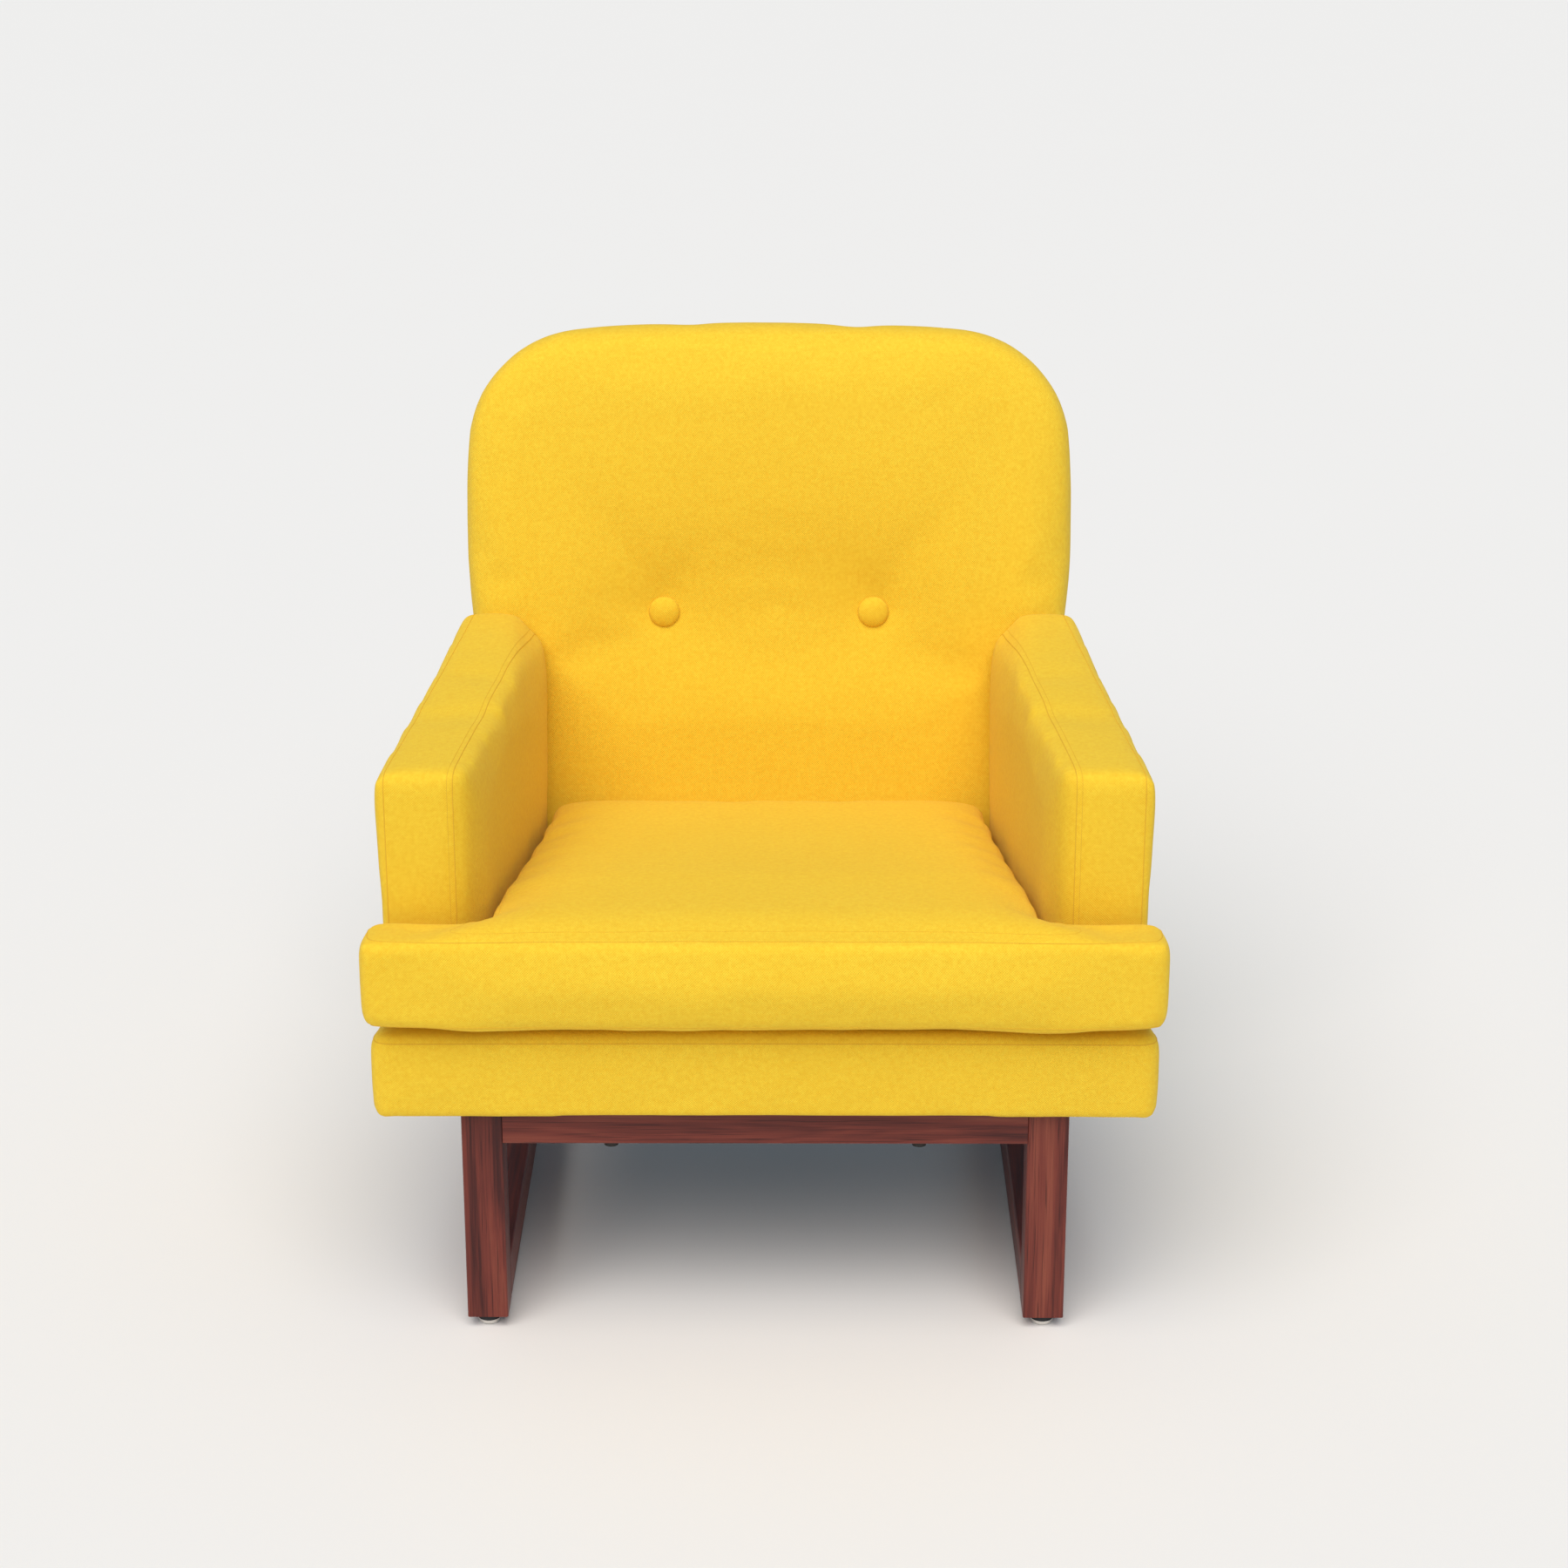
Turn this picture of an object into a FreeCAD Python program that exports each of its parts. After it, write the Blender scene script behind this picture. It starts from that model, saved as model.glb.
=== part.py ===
import FreeCAD, Part
import os

import Sketcher

# An upholstered armchair on an open walnut base.
# Frame: +Z up, the sitter faces -Y, X = 0 is the plane of symmetry.
# The origin lies on the floor, half way between the front of the seat cushion and
# the back of the chair.  Lengths are in millimetres and angles in degrees.

SIZES = (
    # Walnut base: two open side frames joined by two stretchers
    ("base_width", 590),
    ("base_depth", 520),
    ("base_height", 240),
    ("post_width", 40),
    ("post_depth", 44),
    ("runner_height", 44),
    ("rail_height", 38),
    ("stretcher_thickness", 24),
    ("edge_round", 2),
    ("dowel_diameter", 8),
    ("dowel_length", 50),
    ("dowel_spacing", 18),
    # Nail-on glides
    ("glide_height", 12),
    ("glide_diameter", 22),
    ("glide_cap_height", 5),
    ("glide_setback", 16),
    ("glide_chamfer", 2),
    ("glide_cushion_inset", 1),
    ("nail_diameter", 3),
    ("nail_bite", 12),
    # Screws that hold the seat frame down on the base
    ("screw_diameter", 6),
    ("screw_head_diameter", 14),
    ("screw_head_height", 4),
    ("screw_bite", 26),
    ("screw_setback", 9),
    ("screw_spacing", 300),
    # Plan of the seat: the sides toe in towards the back
    ("toe_angle", 4.93),
    ("deck_side_overhang", 83),
    ("deck_overhang", 22),
    ("deck_drop", 4),
    ("deck_front_height", 330),
    ("seat_slope", 5),
    ("deck_round", 15),
    ("boxing_side", 16),
    ("boxing_front", 12),
    ("decking_thickness", 3),
    ("deck_pad_thickness", 15),
    ("burlap_thickness", 1.5),
    ("dust_cover_thickness", 1),
    # Seat frame
    ("side_rail_thickness", 20),
    ("front_rail_thickness", 28),
    ("rear_rail_thickness", 25),
    ("rear_rail_rise", 16),
    ("rear_rail_setback", 5),
    ("rear_rail_inset", 6),
    ("corner_block_leg", 60),
    ("corner_block_height", 24),
    # Sinuous springs
    ("spring_wire", 3.6),
    ("spring_width", 50),
    ("spring_pitch", 22),
    ("spring_spacing", 96),
    ("clip_width", 26),
    ("clip_depth", 14),
    ("clip_height", 7),
    # Arms
    ("arm_setback", 22),
    ("arm_inset", 5),
    ("arm_thickness", 96),
    ("arm_height", 573),
    ("arm_rise", 0.9),
    ("arm_round", 20),
    ("arm_post_width", 45),
    ("arm_post_depth", 32),
    ("arm_front_padding", 20),
    ("arm_rear_padding", 16),
    ("arm_top_padding", 18),
    ("arm_rail_height", 24),
    ("bolt_diameter", 6),
    ("bolt_length", 46),
    ("bolt_inset", 4),
    ("front_bolt_drop", 24),
    ("rear_bolt_drop", 14),
    # Back
    ("back_foot_setback", 60),
    ("rake_angle", 12),
    ("back_length", 658),
    ("back_thickness", 125),
    ("back_side_inset", 14.4),
    ("back_flare", 5),
    ("back_wide_height", 480),
    ("back_taper", 2),
    ("back_crown", 12),
    ("back_corner_radius", 118),
    ("back_round", 42),
    ("back_front_padding", 55),
    ("back_top_padding", 98),
    ("upright_inset", 42),
    ("upright_width", 28),
    ("upright_depth", 46),
    ("back_rail_thickness", 22),
    ("back_top_rail_height", 45),
    ("button_rail_height", 60),
    ("low_rail_height", 50),
    ("low_rail_place", 130),
    ("strap_width", 50),
    ("strap_thickness", 2),
    ("strap_spacing", 150),
    ("button_diameter", 33),
    ("button_rim", 6),
    ("button_dome", 5),
    ("button_spacing", 227),
    ("button_place", 347),
    ("twine_diameter", 2.5),
    ("clasp_diameter", 12),
    # Loose seat cushion
    ("cushion_side_overhang", 3),
    ("cushion_overhang", 55),
    ("cushion_height", 113),
    ("cushion_crown", 8),
    ("cushion_crown_place", 180),
    ("cushion_slope", 7.2),
    ("cushion_round", 20),
    ("cushion_gap", 1.5),
    ("cushion_lift", 0.5),
    ("ticking_thickness", 4),
    ("zip_length", 300),
    ("zip_width", 24),
    ("zip_thickness", 2),
)

LEFT = -1
RIGHT = 1
SIDES = (("left", LEFT), ("right", RIGHT))
TALL = 1500
WIDE = 1500
SPARE = 10
BEFORE = f"places.deck_front - {SPARE}"
BEYOND = f"places.deck_front + {TALL}"
SPRINGS = 5
BUTTON_DOME = ((0.8, 0.6), (0.4, 0.95))

doc = FreeCAD.newDocument("armchair")
nodes = []


# ---------------------------------------------------------------- sizes and places

def make_sizes():
    """The spreadsheet of driving dimensions."""
    sheet = doc.addObject("Spreadsheet::Sheet", "sizes")
    for row, (alias, value) in enumerate(SIZES, start=1):
        sheet.set(f"A{row}", alias)
        sheet.set(f"B{row}", str(value))
        sheet.setAlias(f"B{row}", alias)
    doc.recompute()
    return sheet


def make_places():
    """Places that several pieces share, each worked out from the sizes."""
    holder = doc.addObject("App::VarSet", "places")
    reach = (
        "(sizes.base_depth - sizes.back_foot_setback"
        " + (sizes.back_length - sizes.back_round) * sin(sizes.rake_angle)"
        " + (sizes.back_thickness - sizes.back_round) * cos(sizes.rake_angle) + sizes.back_round)"
    )
    wanted = (
        ("cushion_front", f"-(sizes.cushion_overhang + {reach}) / 2"),
        ("base_front", "places.cushion_front + sizes.cushion_overhang"),
        ("base_rear", "places.base_front + sizes.base_depth"),
        ("frame_bottom", "sizes.base_height + sizes.dust_cover_thickness"),
        ("deck_front", "places.base_front - sizes.deck_overhang"),
        ("deck_bottom", "sizes.base_height - sizes.deck_drop"),
        ("rail_front", "places.deck_front + sizes.boxing_front"),
        ("rear_rail_rear", "places.base_rear - sizes.rear_rail_setback"),
        ("rear_rail_front", "places.rear_rail_rear - sizes.rear_rail_thickness"),
        ("arm_front", "places.base_front + sizes.arm_setback"),
        ("back_foot", "places.base_rear - sizes.back_foot_setback"),
        ("spring_drop", "sizes.decking_thickness + sizes.deck_pad_thickness + sizes.burlap_thickness"),
        ("deck_half", "sizes.base_width / 2 + sizes.deck_side_overhang"),
        ("rear_rail_top", f"{height_on(deck_line(), 'places.rear_rail_front')} + sizes.rear_rail_rise"),
        ("back_half", side_x("sizes.back_side_inset", "places.back_foot")),
        ("upright_half", "places.back_half - sizes.upright_inset"),
        ("upright_length", "sizes.back_length - sizes.back_top_padding"),
    )
    for name, expression in wanted:
        holder.addProperty("App::PropertyFloat", name, "places")
        holder.setExpression(name, expression)
    doc.recompute()
    return holder


def side_x(inset, along):
    """Half width, at a place along Y, of a line that toes in with the chair's side."""
    return f"(places.deck_half - ({inset}) - (({along}) - places.deck_front) * tan(sizes.toe_angle))"


def raked_y(height, depth="0"):
    """Place along Y, at a height, of a plane parallel to the face of the back."""
    return (
        f"(places.back_foot + (({height}) - sizes.base_height) * tan(sizes.rake_angle)"
        f" + ({depth}) / cos(sizes.rake_angle))"
    )


def deck_line(drop="0"):
    """The sloping top of the deck, or a plane below it: a point (y, z) and a gradient."""
    return ("places.deck_front", f"(sizes.deck_front_height - ({drop}))", "(-tan(sizes.seat_slope))")


def arm_line(drop="0"):
    """The top of the arms, or a plane below it."""
    return ("places.arm_front", f"(sizes.arm_height - ({drop}))", "tan(sizes.arm_rise)")


def height_on(line, along):
    """Height of a sloping line at a place along Y."""
    y, z, gradient = line
    return f"({z} + (({along}) - {y}) * {gradient})"


def meets_back(line, depth="0"):
    """Where a sloping line meets a plane parallel to the face of the back, as (y, z)."""
    y, z, gradient = line
    foot = f"(places.back_foot + ({depth}) / cos(sizes.rake_angle))"
    rise = f"({z} - {y} * {gradient} - sizes.base_height)"
    along = f"(({foot} + {rise} * tan(sizes.rake_angle)) / (1 - {gradient} * tan(sizes.rake_angle)))"
    return along, height_on(line, along)


# ---------------------------------------------------------------- building blocks

def value_of(name):
    """A size from the spreadsheet, for features whose values can't be bound."""
    return float(doc.sizes.get(name))


def keep(piece, label):
    """Name a finished piece as a node of the chair."""
    piece.Label = label
    nodes.append(piece)
    return piece


def place_at(piece, x="0", y="0", z="0"):
    """Bind the position of an object."""
    for axis, expression in zip("xyz", (x, y, z)):
        piece.setExpression(f"Placement.Base.{axis}", expression)


def lean_back(piece, x="0", depth="0", up="0"):
    """Put an object in the raked frame of the back: across, into the back, and up along it."""
    piece.Placement = FreeCAD.Placement(FreeCAD.Vector(), FreeCAD.Rotation(FreeCAD.Vector(-1, 0, 0), 1))
    piece.setExpression("Placement.Rotation.Angle", "sizes.rake_angle")
    place_at(
        piece,
        x,
        f"places.back_foot + ({depth}) * cos(sizes.rake_angle) + ({up}) * sin(sizes.rake_angle)",
        f"sizes.base_height - ({depth}) * sin(sizes.rake_angle) + ({up}) * cos(sizes.rake_angle)",
    )


def outline_sketch(body, plane, corners):
    """A closed polygon on one of the body's origin planes, each corner bound to the sheet."""
    sketch = body.newObject("Sketcher::SketchObject", f"{body.Name}_sketch")
    support = next(item for item in body.Origin.OriginFeatures if item.Role == plane)
    sketch.AttachmentSupport = [(support, "")]
    sketch.MapMode = "FlatFace"
    count = len(corners)
    rough = [rough_point(corner) for corner in corners]
    for index in range(count):
        sketch.addGeometry(Part.LineSegment(rough[index], rough[(index + 1) % count]))
    for index in range(count):
        sketch.addConstraint(Sketcher.Constraint("Coincident", index, 2, (index + 1) % count, 1))
    for index, corner in enumerate(corners):
        for kind, expression, start in zip(("DistanceX", "DistanceY"), corner, rough[index]):
            place = sketch.addConstraint(Sketcher.Constraint(kind, -1, 1, index, 1, start))
            sketch.setExpression(f"Constraints[{place}]", expression)
    return sketch


def number(expression):
    """What an expression comes to with the sizes as they are."""
    return float(doc.sizes.evalExpression(expression))


def rough_point(corner):
    """The corner as it lies now, so that the sketch starts solved."""
    return FreeCAD.Vector(number(corner[0]), number(corner[1]), 0)


def prism(name, plane, corners, length, both_ways=False):
    """A body padded from a polygon."""
    body = doc.addObject("PartDesign::Body", name)
    sketch = outline_sketch(body, plane, corners)
    pad = body.newObject("PartDesign::Pad", f"{name}_pad")
    pad.Profile = sketch
    pad.Midplane = both_ways
    pad.setExpression("Length", str(length))
    return body


def turned(name, profile):
    """A body revolved about its Z axis from a profile of (radius, height) corners."""
    body = doc.addObject("PartDesign::Body", name)
    sketch = outline_sketch(body, "XZ_Plane", profile)
    spin = body.newObject("PartDesign::Revolution", f"{name}_spin")
    spin.Profile = sketch
    spin.ReferenceAxis = (sketch, ["V_Axis"])
    spin.Angle = 360
    return body


def common(name, first, second):
    """What two objects share."""
    piece = doc.addObject("Part::Common", name)
    piece.Base = first
    piece.Tool = second
    return piece


def cut(name, base, tools):
    """An object with others taken out of it."""
    tool = tools[0]
    if len(tools) > 1:
        tool = doc.addObject("Part::Compound", f"{name}_tools")
        tool.Links = tools
    piece = doc.addObject("Part::Cut", name)
    piece.Base = base
    piece.Tool = tool
    return piece


def group(name, pieces):
    """Separate solids that share one node."""
    holder = doc.addObject("Part::Compound", name)
    holder.Links = pieces
    return holder


def shaped(name, plan, profile):
    """A piece with one polygon as its plan and another as its side view."""
    upright = prism(f"{name}_plan", "XY_Plane", plan, TALL)
    sideways = prism(f"{name}_profile", "YZ_Plane", profile, WIDE, both_ways=True)
    return common(name, upright, sideways)


def rounded(name, base, radius, wanted):
    """Round the edges for which wanted(edge) is true."""
    doc.recompute()
    chosen = [index for index, edge in enumerate(base.Shape.Edges, start=1) if wanted(edge)]
    piece = doc.addObject("Part::Fillet", name)
    piece.Base = base
    piece.Edges = [(index, radius, radius) for index in chosen]
    return piece


def box(name, length, width, height, x, y, z):
    """A rectangular piece with one corner at (x, y, z)."""
    piece = doc.addObject("Part::Box", name)
    piece.setExpression("Length", length)
    piece.setExpression("Width", width)
    piece.setExpression("Height", height)
    place_at(piece, x, y, z)
    return piece


def rod(name, diameter, length, axis, x, y, z):
    """A round bar that starts at (x, y, z) and runs along an axis."""
    piece = doc.addObject("Part::Cylinder", name)
    piece.setExpression("Radius", f"({diameter}) / 2")
    piece.setExpression("Height", length)
    turn = FreeCAD.Rotation(FreeCAD.Vector(0, 0, 1), FreeCAD.Vector(*axis))
    piece.Placement = FreeCAD.Placement(FreeCAD.Vector(), turn)
    place_at(piece, x, y, z)
    return piece


# ---------------------------------------------------------------- walnut base

def timber(name, length, width, height, x, y, z):
    """A straight walnut member with its long edges eased."""
    body = prism(name, "XY_Plane", (("0", "0"), (length, "0"), (length, width), ("0", width)), height)
    place_at(body, x, y, z)
    doc.recompute()
    size = body.Shape.BoundBox
    spans = (size.XLength, size.YLength, size.ZLength)
    longest = max(spans)
    edges = [
        f"Edge{index}"
        for index, edge in enumerate(body.Shape.Edges, start=1)
        if abs(edge.Length - longest) < 0.001
    ]
    pad = body.Tip
    ease = body.newObject("PartDesign::Fillet", f"{name}_ease")
    ease.Base = (pad, edges)
    ease.setExpression("Radius", "sizes.edge_round")
    return body


def member_x(side):
    """Left edge, along X, of a side frame."""
    if side == LEFT:
        return "-sizes.base_width / 2"
    return "sizes.base_width / 2 - sizes.post_width"


def dowel_heights():
    """Mid heights of the joints of the bottom runners and of the top rails."""
    runner = "sizes.glide_height + sizes.runner_height / 2"
    rail = "sizes.base_height - sizes.rail_height / 2"
    return runner, rail


def make_dowels():
    """Two dowels in each joint of the base."""
    dowels = []
    runner_mid, rail_mid = dowel_heights()
    joints_y = (
        "places.base_front + sizes.post_depth",
        "places.base_rear - sizes.post_depth",
    )
    stretchers_y = (
        "places.base_front + sizes.stretcher_thickness / 2",
        "places.base_rear - sizes.stretcher_thickness / 2",
    )
    for _, side in SIDES:
        post_x = f"{side} * (sizes.base_width - sizes.post_width) / 2"
        inner_x = f"{side} * (sizes.base_width / 2 - sizes.post_width)"
        for step in (-1, 1):
            shift = f"{step} * sizes.dowel_spacing / 2"
            for joint_y in joints_y:
                for middle in (runner_mid, rail_mid):
                    start = f"{joint_y} - sizes.dowel_length / 2"
                    dowels.append(rod("dowel", "sizes.dowel_diameter", "sizes.dowel_length", (0, 1, 0),
                                      post_x, start, f"{middle} + {shift}"))
            for stretcher_y in stretchers_y:
                start = f"{inner_x} - sizes.dowel_length / 2"
                dowels.append(rod("dowel", "sizes.dowel_diameter", "sizes.dowel_length", (1, 0, 0),
                                  start, stretcher_y, f"{rail_mid} + {shift}"))
    return keep(group("base_dowels", dowels), "base_dowels")


def make_glide(name, side, y):
    """A nickelled cap on a nail, with a rubber cushion between the cap and the post."""
    rim_radius = "sizes.glide_diameter / 2"
    bottom_radius = f"{rim_radius} - sizes.glide_chamfer"
    cushion_radius = f"{rim_radius} - sizes.glide_cushion_inset"
    nail_radius = "sizes.nail_diameter / 2"
    cap = turned(f"glide_cap_{name}", (
        ("0", "0"),
        (bottom_radius, "0"),
        (rim_radius, "sizes.glide_chamfer"),
        (rim_radius, "sizes.glide_cap_height"),
        (nail_radius, "sizes.glide_cap_height"),
        (nail_radius, "sizes.glide_height + sizes.nail_bite - sizes.nail_diameter"),
        ("0", "sizes.glide_height + sizes.nail_bite"),
    ))
    cushion = turned(f"glide_cushion_{name}", (
        (nail_radius, "sizes.glide_cap_height"),
        (cushion_radius, "sizes.glide_cap_height"),
        (f"{cushion_radius} - sizes.glide_cushion_inset", "sizes.glide_height"),
        (nail_radius, "sizes.glide_height"),
    ))
    for piece in (cap, cushion):
        place_at(piece, f"{side} * (sizes.base_width - sizes.post_width) / 2", y, "0")
        keep(piece, piece.Name)
    return cap


def make_base(dowels, screws):
    """Posts, runners, top rails and stretchers, drilled for their dowels, nails and screws."""
    post_height = "sizes.base_height - sizes.glide_height"
    between_posts = "sizes.base_depth - 2 * sizes.post_depth"
    after_post = "places.base_front + sizes.post_depth"
    ends = (
        ("front", "places.base_front", "places.base_front + sizes.glide_setback"),
        ("rear", "places.base_rear - sizes.post_depth", "places.base_rear - sizes.glide_setback"),
    )
    for side_name, side in SIDES:
        x = member_x(side)
        for end, post_y, glide_y in ends:
            cap = make_glide(f"{end}_{side_name}", side, glide_y)
            blank = timber(f"{end}_post_{side_name}_blank", "sizes.post_width", "sizes.post_depth",
                           post_height, x, post_y, "sizes.glide_height")
            label = f"{end}_post_{side_name}"
            keep(cut(label, blank, [dowels, cap]), label)
        for label, height, z in (
            (f"runner_{side_name}", "sizes.runner_height", "sizes.glide_height"),
            (f"side_rail_{side_name}", "sizes.rail_height", "sizes.base_height - sizes.rail_height"),
        ):
            blank = timber(f"{label}_blank", "sizes.post_width", between_posts, height, x, after_post, z)
            keep(cut(label, blank, [dowels]), label)
    for label, y in (
        ("front_stretcher", "places.base_front"),
        ("rear_stretcher", "places.base_rear - sizes.stretcher_thickness"),
    ):
        blank = timber(f"{label}_blank", "sizes.base_width - 2 * sizes.post_width",
                       "sizes.stretcher_thickness", "sizes.rail_height",
                       "-(sizes.base_width / 2 - sizes.post_width)", y,
                       "sizes.base_height - sizes.rail_height")
        keep(cut(label, blank, [dowels, screws]), label)


def make_base_screws():
    """Four screws, up through the stretchers into the front and rear seat rails."""
    screws = []
    under = "sizes.base_height - sizes.rail_height"
    for side in (LEFT, RIGHT):
        for y in (
            "places.base_front + sizes.screw_setback",
            "places.rear_rail_rear - sizes.screw_setback",
        ):
            screw = turned("base_screw", (
                ("0", "-sizes.screw_head_height"),
                ("sizes.screw_head_diameter / 2", "-sizes.screw_head_height"),
                ("sizes.screw_head_diameter / 2", "0"),
                ("sizes.screw_diameter / 2", "0"),
                ("sizes.screw_diameter / 2", "sizes.rail_height + sizes.screw_bite - sizes.screw_diameter"),
                ("0", "sizes.rail_height + sizes.screw_bite"),
            ))
            place_at(screw, f"{side} * sizes.screw_spacing / 2", y, under)
            screws.append(screw)
    return keep(group("base_screws", screws), "base_screws")


# ---------------------------------------------------------------- seat frame and deck

def across(name, inset, profile):
    """A piece that spans the seat between its two toed-in sides."""
    plan = (
        (f"-{side_x(inset, BEFORE)}", BEFORE),
        (side_x(inset, BEFORE), BEFORE),
        (side_x(inset, BEYOND), BEYOND),
        (f"-{side_x(inset, BEYOND)}", BEYOND),
    )
    return shaped(name, plan, profile)


def along(name, side, outer, inner, profile):
    """A piece that runs front to back between two lines parallel to the toed-in side."""
    plan = (
        (f"{side} * {side_x(outer, BEFORE)}", BEFORE),
        (f"{side} * {side_x(inner, BEFORE)}", BEFORE),
        (f"{side} * {side_x(inner, BEYOND)}", BEYOND),
        (f"{side} * {side_x(outer, BEYOND)}", BEYOND),
    )
    return shaped(name, plan, profile)


def layer_profile(top_drop, bottom_drop, front):
    """Side view of a sheet that lies parallel to the top of the deck and ends at the back."""
    top = deck_line(top_drop)
    bottom = deck_line(bottom_drop)
    return (
        (front, height_on(bottom, front)),
        meets_back(bottom),
        meets_back(top),
        (front, height_on(top, front)),
    )


def front_rail_top():
    """Height of the front rail, which the springs' clips are nailed to."""
    rail_end = "places.rail_front + sizes.front_rail_thickness"
    return height_on(deck_line("places.spring_drop + sizes.clip_height"), rail_end)


def make_seat_rails(screws, arm_bolts, back_bolts):
    """The hardwood frame of the seat."""
    bottom = "places.frame_bottom"
    rail_end = "places.rail_front + sizes.front_rail_thickness"
    front_top = front_rail_top()
    front = across("seat_front_rail_blank", "sizes.boxing_side", (
        ("places.rail_front", bottom),
        (rail_end, bottom),
        (rail_end, front_top),
        ("places.rail_front", front_top),
    ))
    keep(cut("seat_front_rail", front, [screws]), "seat_front_rail")
    rear_top = "places.rear_rail_top"
    inner = "sizes.boxing_side + sizes.side_rail_thickness"
    rear = across("seat_rear_rail_blank", "sizes.boxing_side + sizes.rear_rail_inset", (
        ("places.rear_rail_front", bottom),
        ("places.rear_rail_rear", bottom),
        ("places.rear_rail_rear", rear_top),
        ("places.rear_rail_front", rear_top),
    ))
    keep(cut("seat_rear_rail", rear, [screws, back_bolts]), "seat_rear_rail")
    under_decking = deck_line("sizes.decking_thickness")
    for side_name, side in SIDES:
        label = f"seat_side_rail_{side_name}"
        rail = along(f"{label}_blank", side, "sizes.boxing_side", inner, (
            (rail_end, bottom),
            ("places.rear_rail_front", bottom),
            ("places.rear_rail_front", height_on(under_decking, "places.rear_rail_front")),
            (rail_end, height_on(under_decking, rail_end)),
        ))
        keep(cut(label, rail, [arm_bolts]), label)


def make_corner_blocks():
    """A glued triangular block in each front corner of the seat frame."""
    start = "places.rail_front + sizes.front_rail_thickness"
    inner = "sizes.boxing_side + sizes.side_rail_thickness"
    finish = f"{start} + sizes.corner_block_leg"
    for side_name, side in SIDES:
        label = f"corner_block_{side_name}"
        block = prism(label, "XY_Plane", (
            (f"{side} * {side_x(inner, start)}", start),
            (f"{side} * ({side_x(inner, start)} - sizes.corner_block_leg)", start),
            (f"{side} * {side_x(inner, finish)}", finish),
        ), "sizes.corner_block_height")
        place_at(block, "0", "0", "places.frame_bottom")
        keep(block, label)


def make_deck(arm_posts):
    """Boxed cover, insulating pad and burlap over the springs, and the dust cover below."""
    shell = across("deck_block", "0", (
        ("places.deck_front", "places.deck_bottom"),
        (raked_y("places.deck_bottom"), "places.deck_bottom"),
        meets_back(deck_line()),
        ("places.deck_front", "sizes.deck_front_height"),
    ))
    doc.recompute()
    front = doc.places.deck_front
    rear_half = number(side_x("sizes.boxing_side", "places.base_rear"))

    def outer_edge(edge):
        centre = edge.CenterOfMass
        at_side = abs(centre.x) > rear_half
        return centre.y < front + 1 or (at_side and edge.BoundBox.YLength > rear_half)

    soft = rounded("deck_soft", shell, value_of("deck_round"), outer_edge)
    below = f"places.deck_bottom - {SPARE}"
    hollow = across("deck_hollow", "sizes.boxing_side", (
        ("places.rail_front", below),
        (raked_y(below, SPARE), below),
        meets_back(deck_line("sizes.decking_thickness"), SPARE),
        ("places.rail_front", height_on(deck_line("sizes.decking_thickness"), "places.rail_front")),
    ))
    keep(cut("deck_cover", soft, [hollow, *arm_posts]), "deck_cover")
    pad_inset = "sizes.boxing_side + sizes.side_rail_thickness + sizes.arm_post_width"
    pad_bottom = "sizes.decking_thickness + sizes.deck_pad_thickness"
    pad = across("deck_pad", pad_inset, layer_profile("sizes.decking_thickness", pad_bottom, "places.rail_front"))
    keep(pad, "deck_pad")
    burlap = across("deck_burlap", pad_inset, layer_profile(pad_bottom, "places.spring_drop", "places.rail_front"))
    keep(burlap, "deck_burlap")


def make_dust_cover(screws):
    """Black cloth stapled under the whole seat."""
    rear = raked_y("sizes.base_height", "sizes.back_thickness - sizes.back_round / 2")
    cloth = across("dust_cloth", "sizes.boxing_side", (
        ("places.rail_front", "sizes.base_height"),
        (rear, "sizes.base_height"),
        (rear, "places.frame_bottom"),
        ("places.rail_front", "places.frame_bottom"),
    ))
    keep(cut("dust_cover", cloth, [screws]), "dust_cover")


def spring_path(x, start_y, end_y, line_height, gradient):
    """A zigzag of straight runs joined by half circles, in the sloping plane of the springs."""
    half = value_of("spring_width") / 2
    radius = value_of("spring_pitch") / 2
    length = (end_y - start_y) * (1 + gradient ** 2) ** 0.5
    turns = int(length // (2 * radius))
    spare = (length - turns * 2 * radius) / 2
    lean = FreeCAD.Vector(0, 1, gradient).normalize()
    origin = FreeCAD.Vector(x, start_y, line_height) + lean * spare
    side = FreeCAD.Vector(1, 0, 0)
    edges = []
    for turn in range(turns):
        way = -1 if turn % 2 else 1
        here = origin + lean * (2 * radius * turn)
        first = here - side * (way * (half - radius))
        last = here + side * (way * (half - radius))
        middle = last + lean * radius + side * (way * radius)
        after = last + lean * (2 * radius)
        edges.append(Part.LineSegment(first, last).toShape())
        edges.append(Part.Arc(last, middle, after).toShape())
    way = -1 if turns % 2 else 1
    here = origin + lean * (2 * radius * turns)
    edges.append(Part.LineSegment(here - side * (way * (half - radius)),
                                  here + side * (way * (half - radius))).toShape())
    return Part.Wire(edges)


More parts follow.
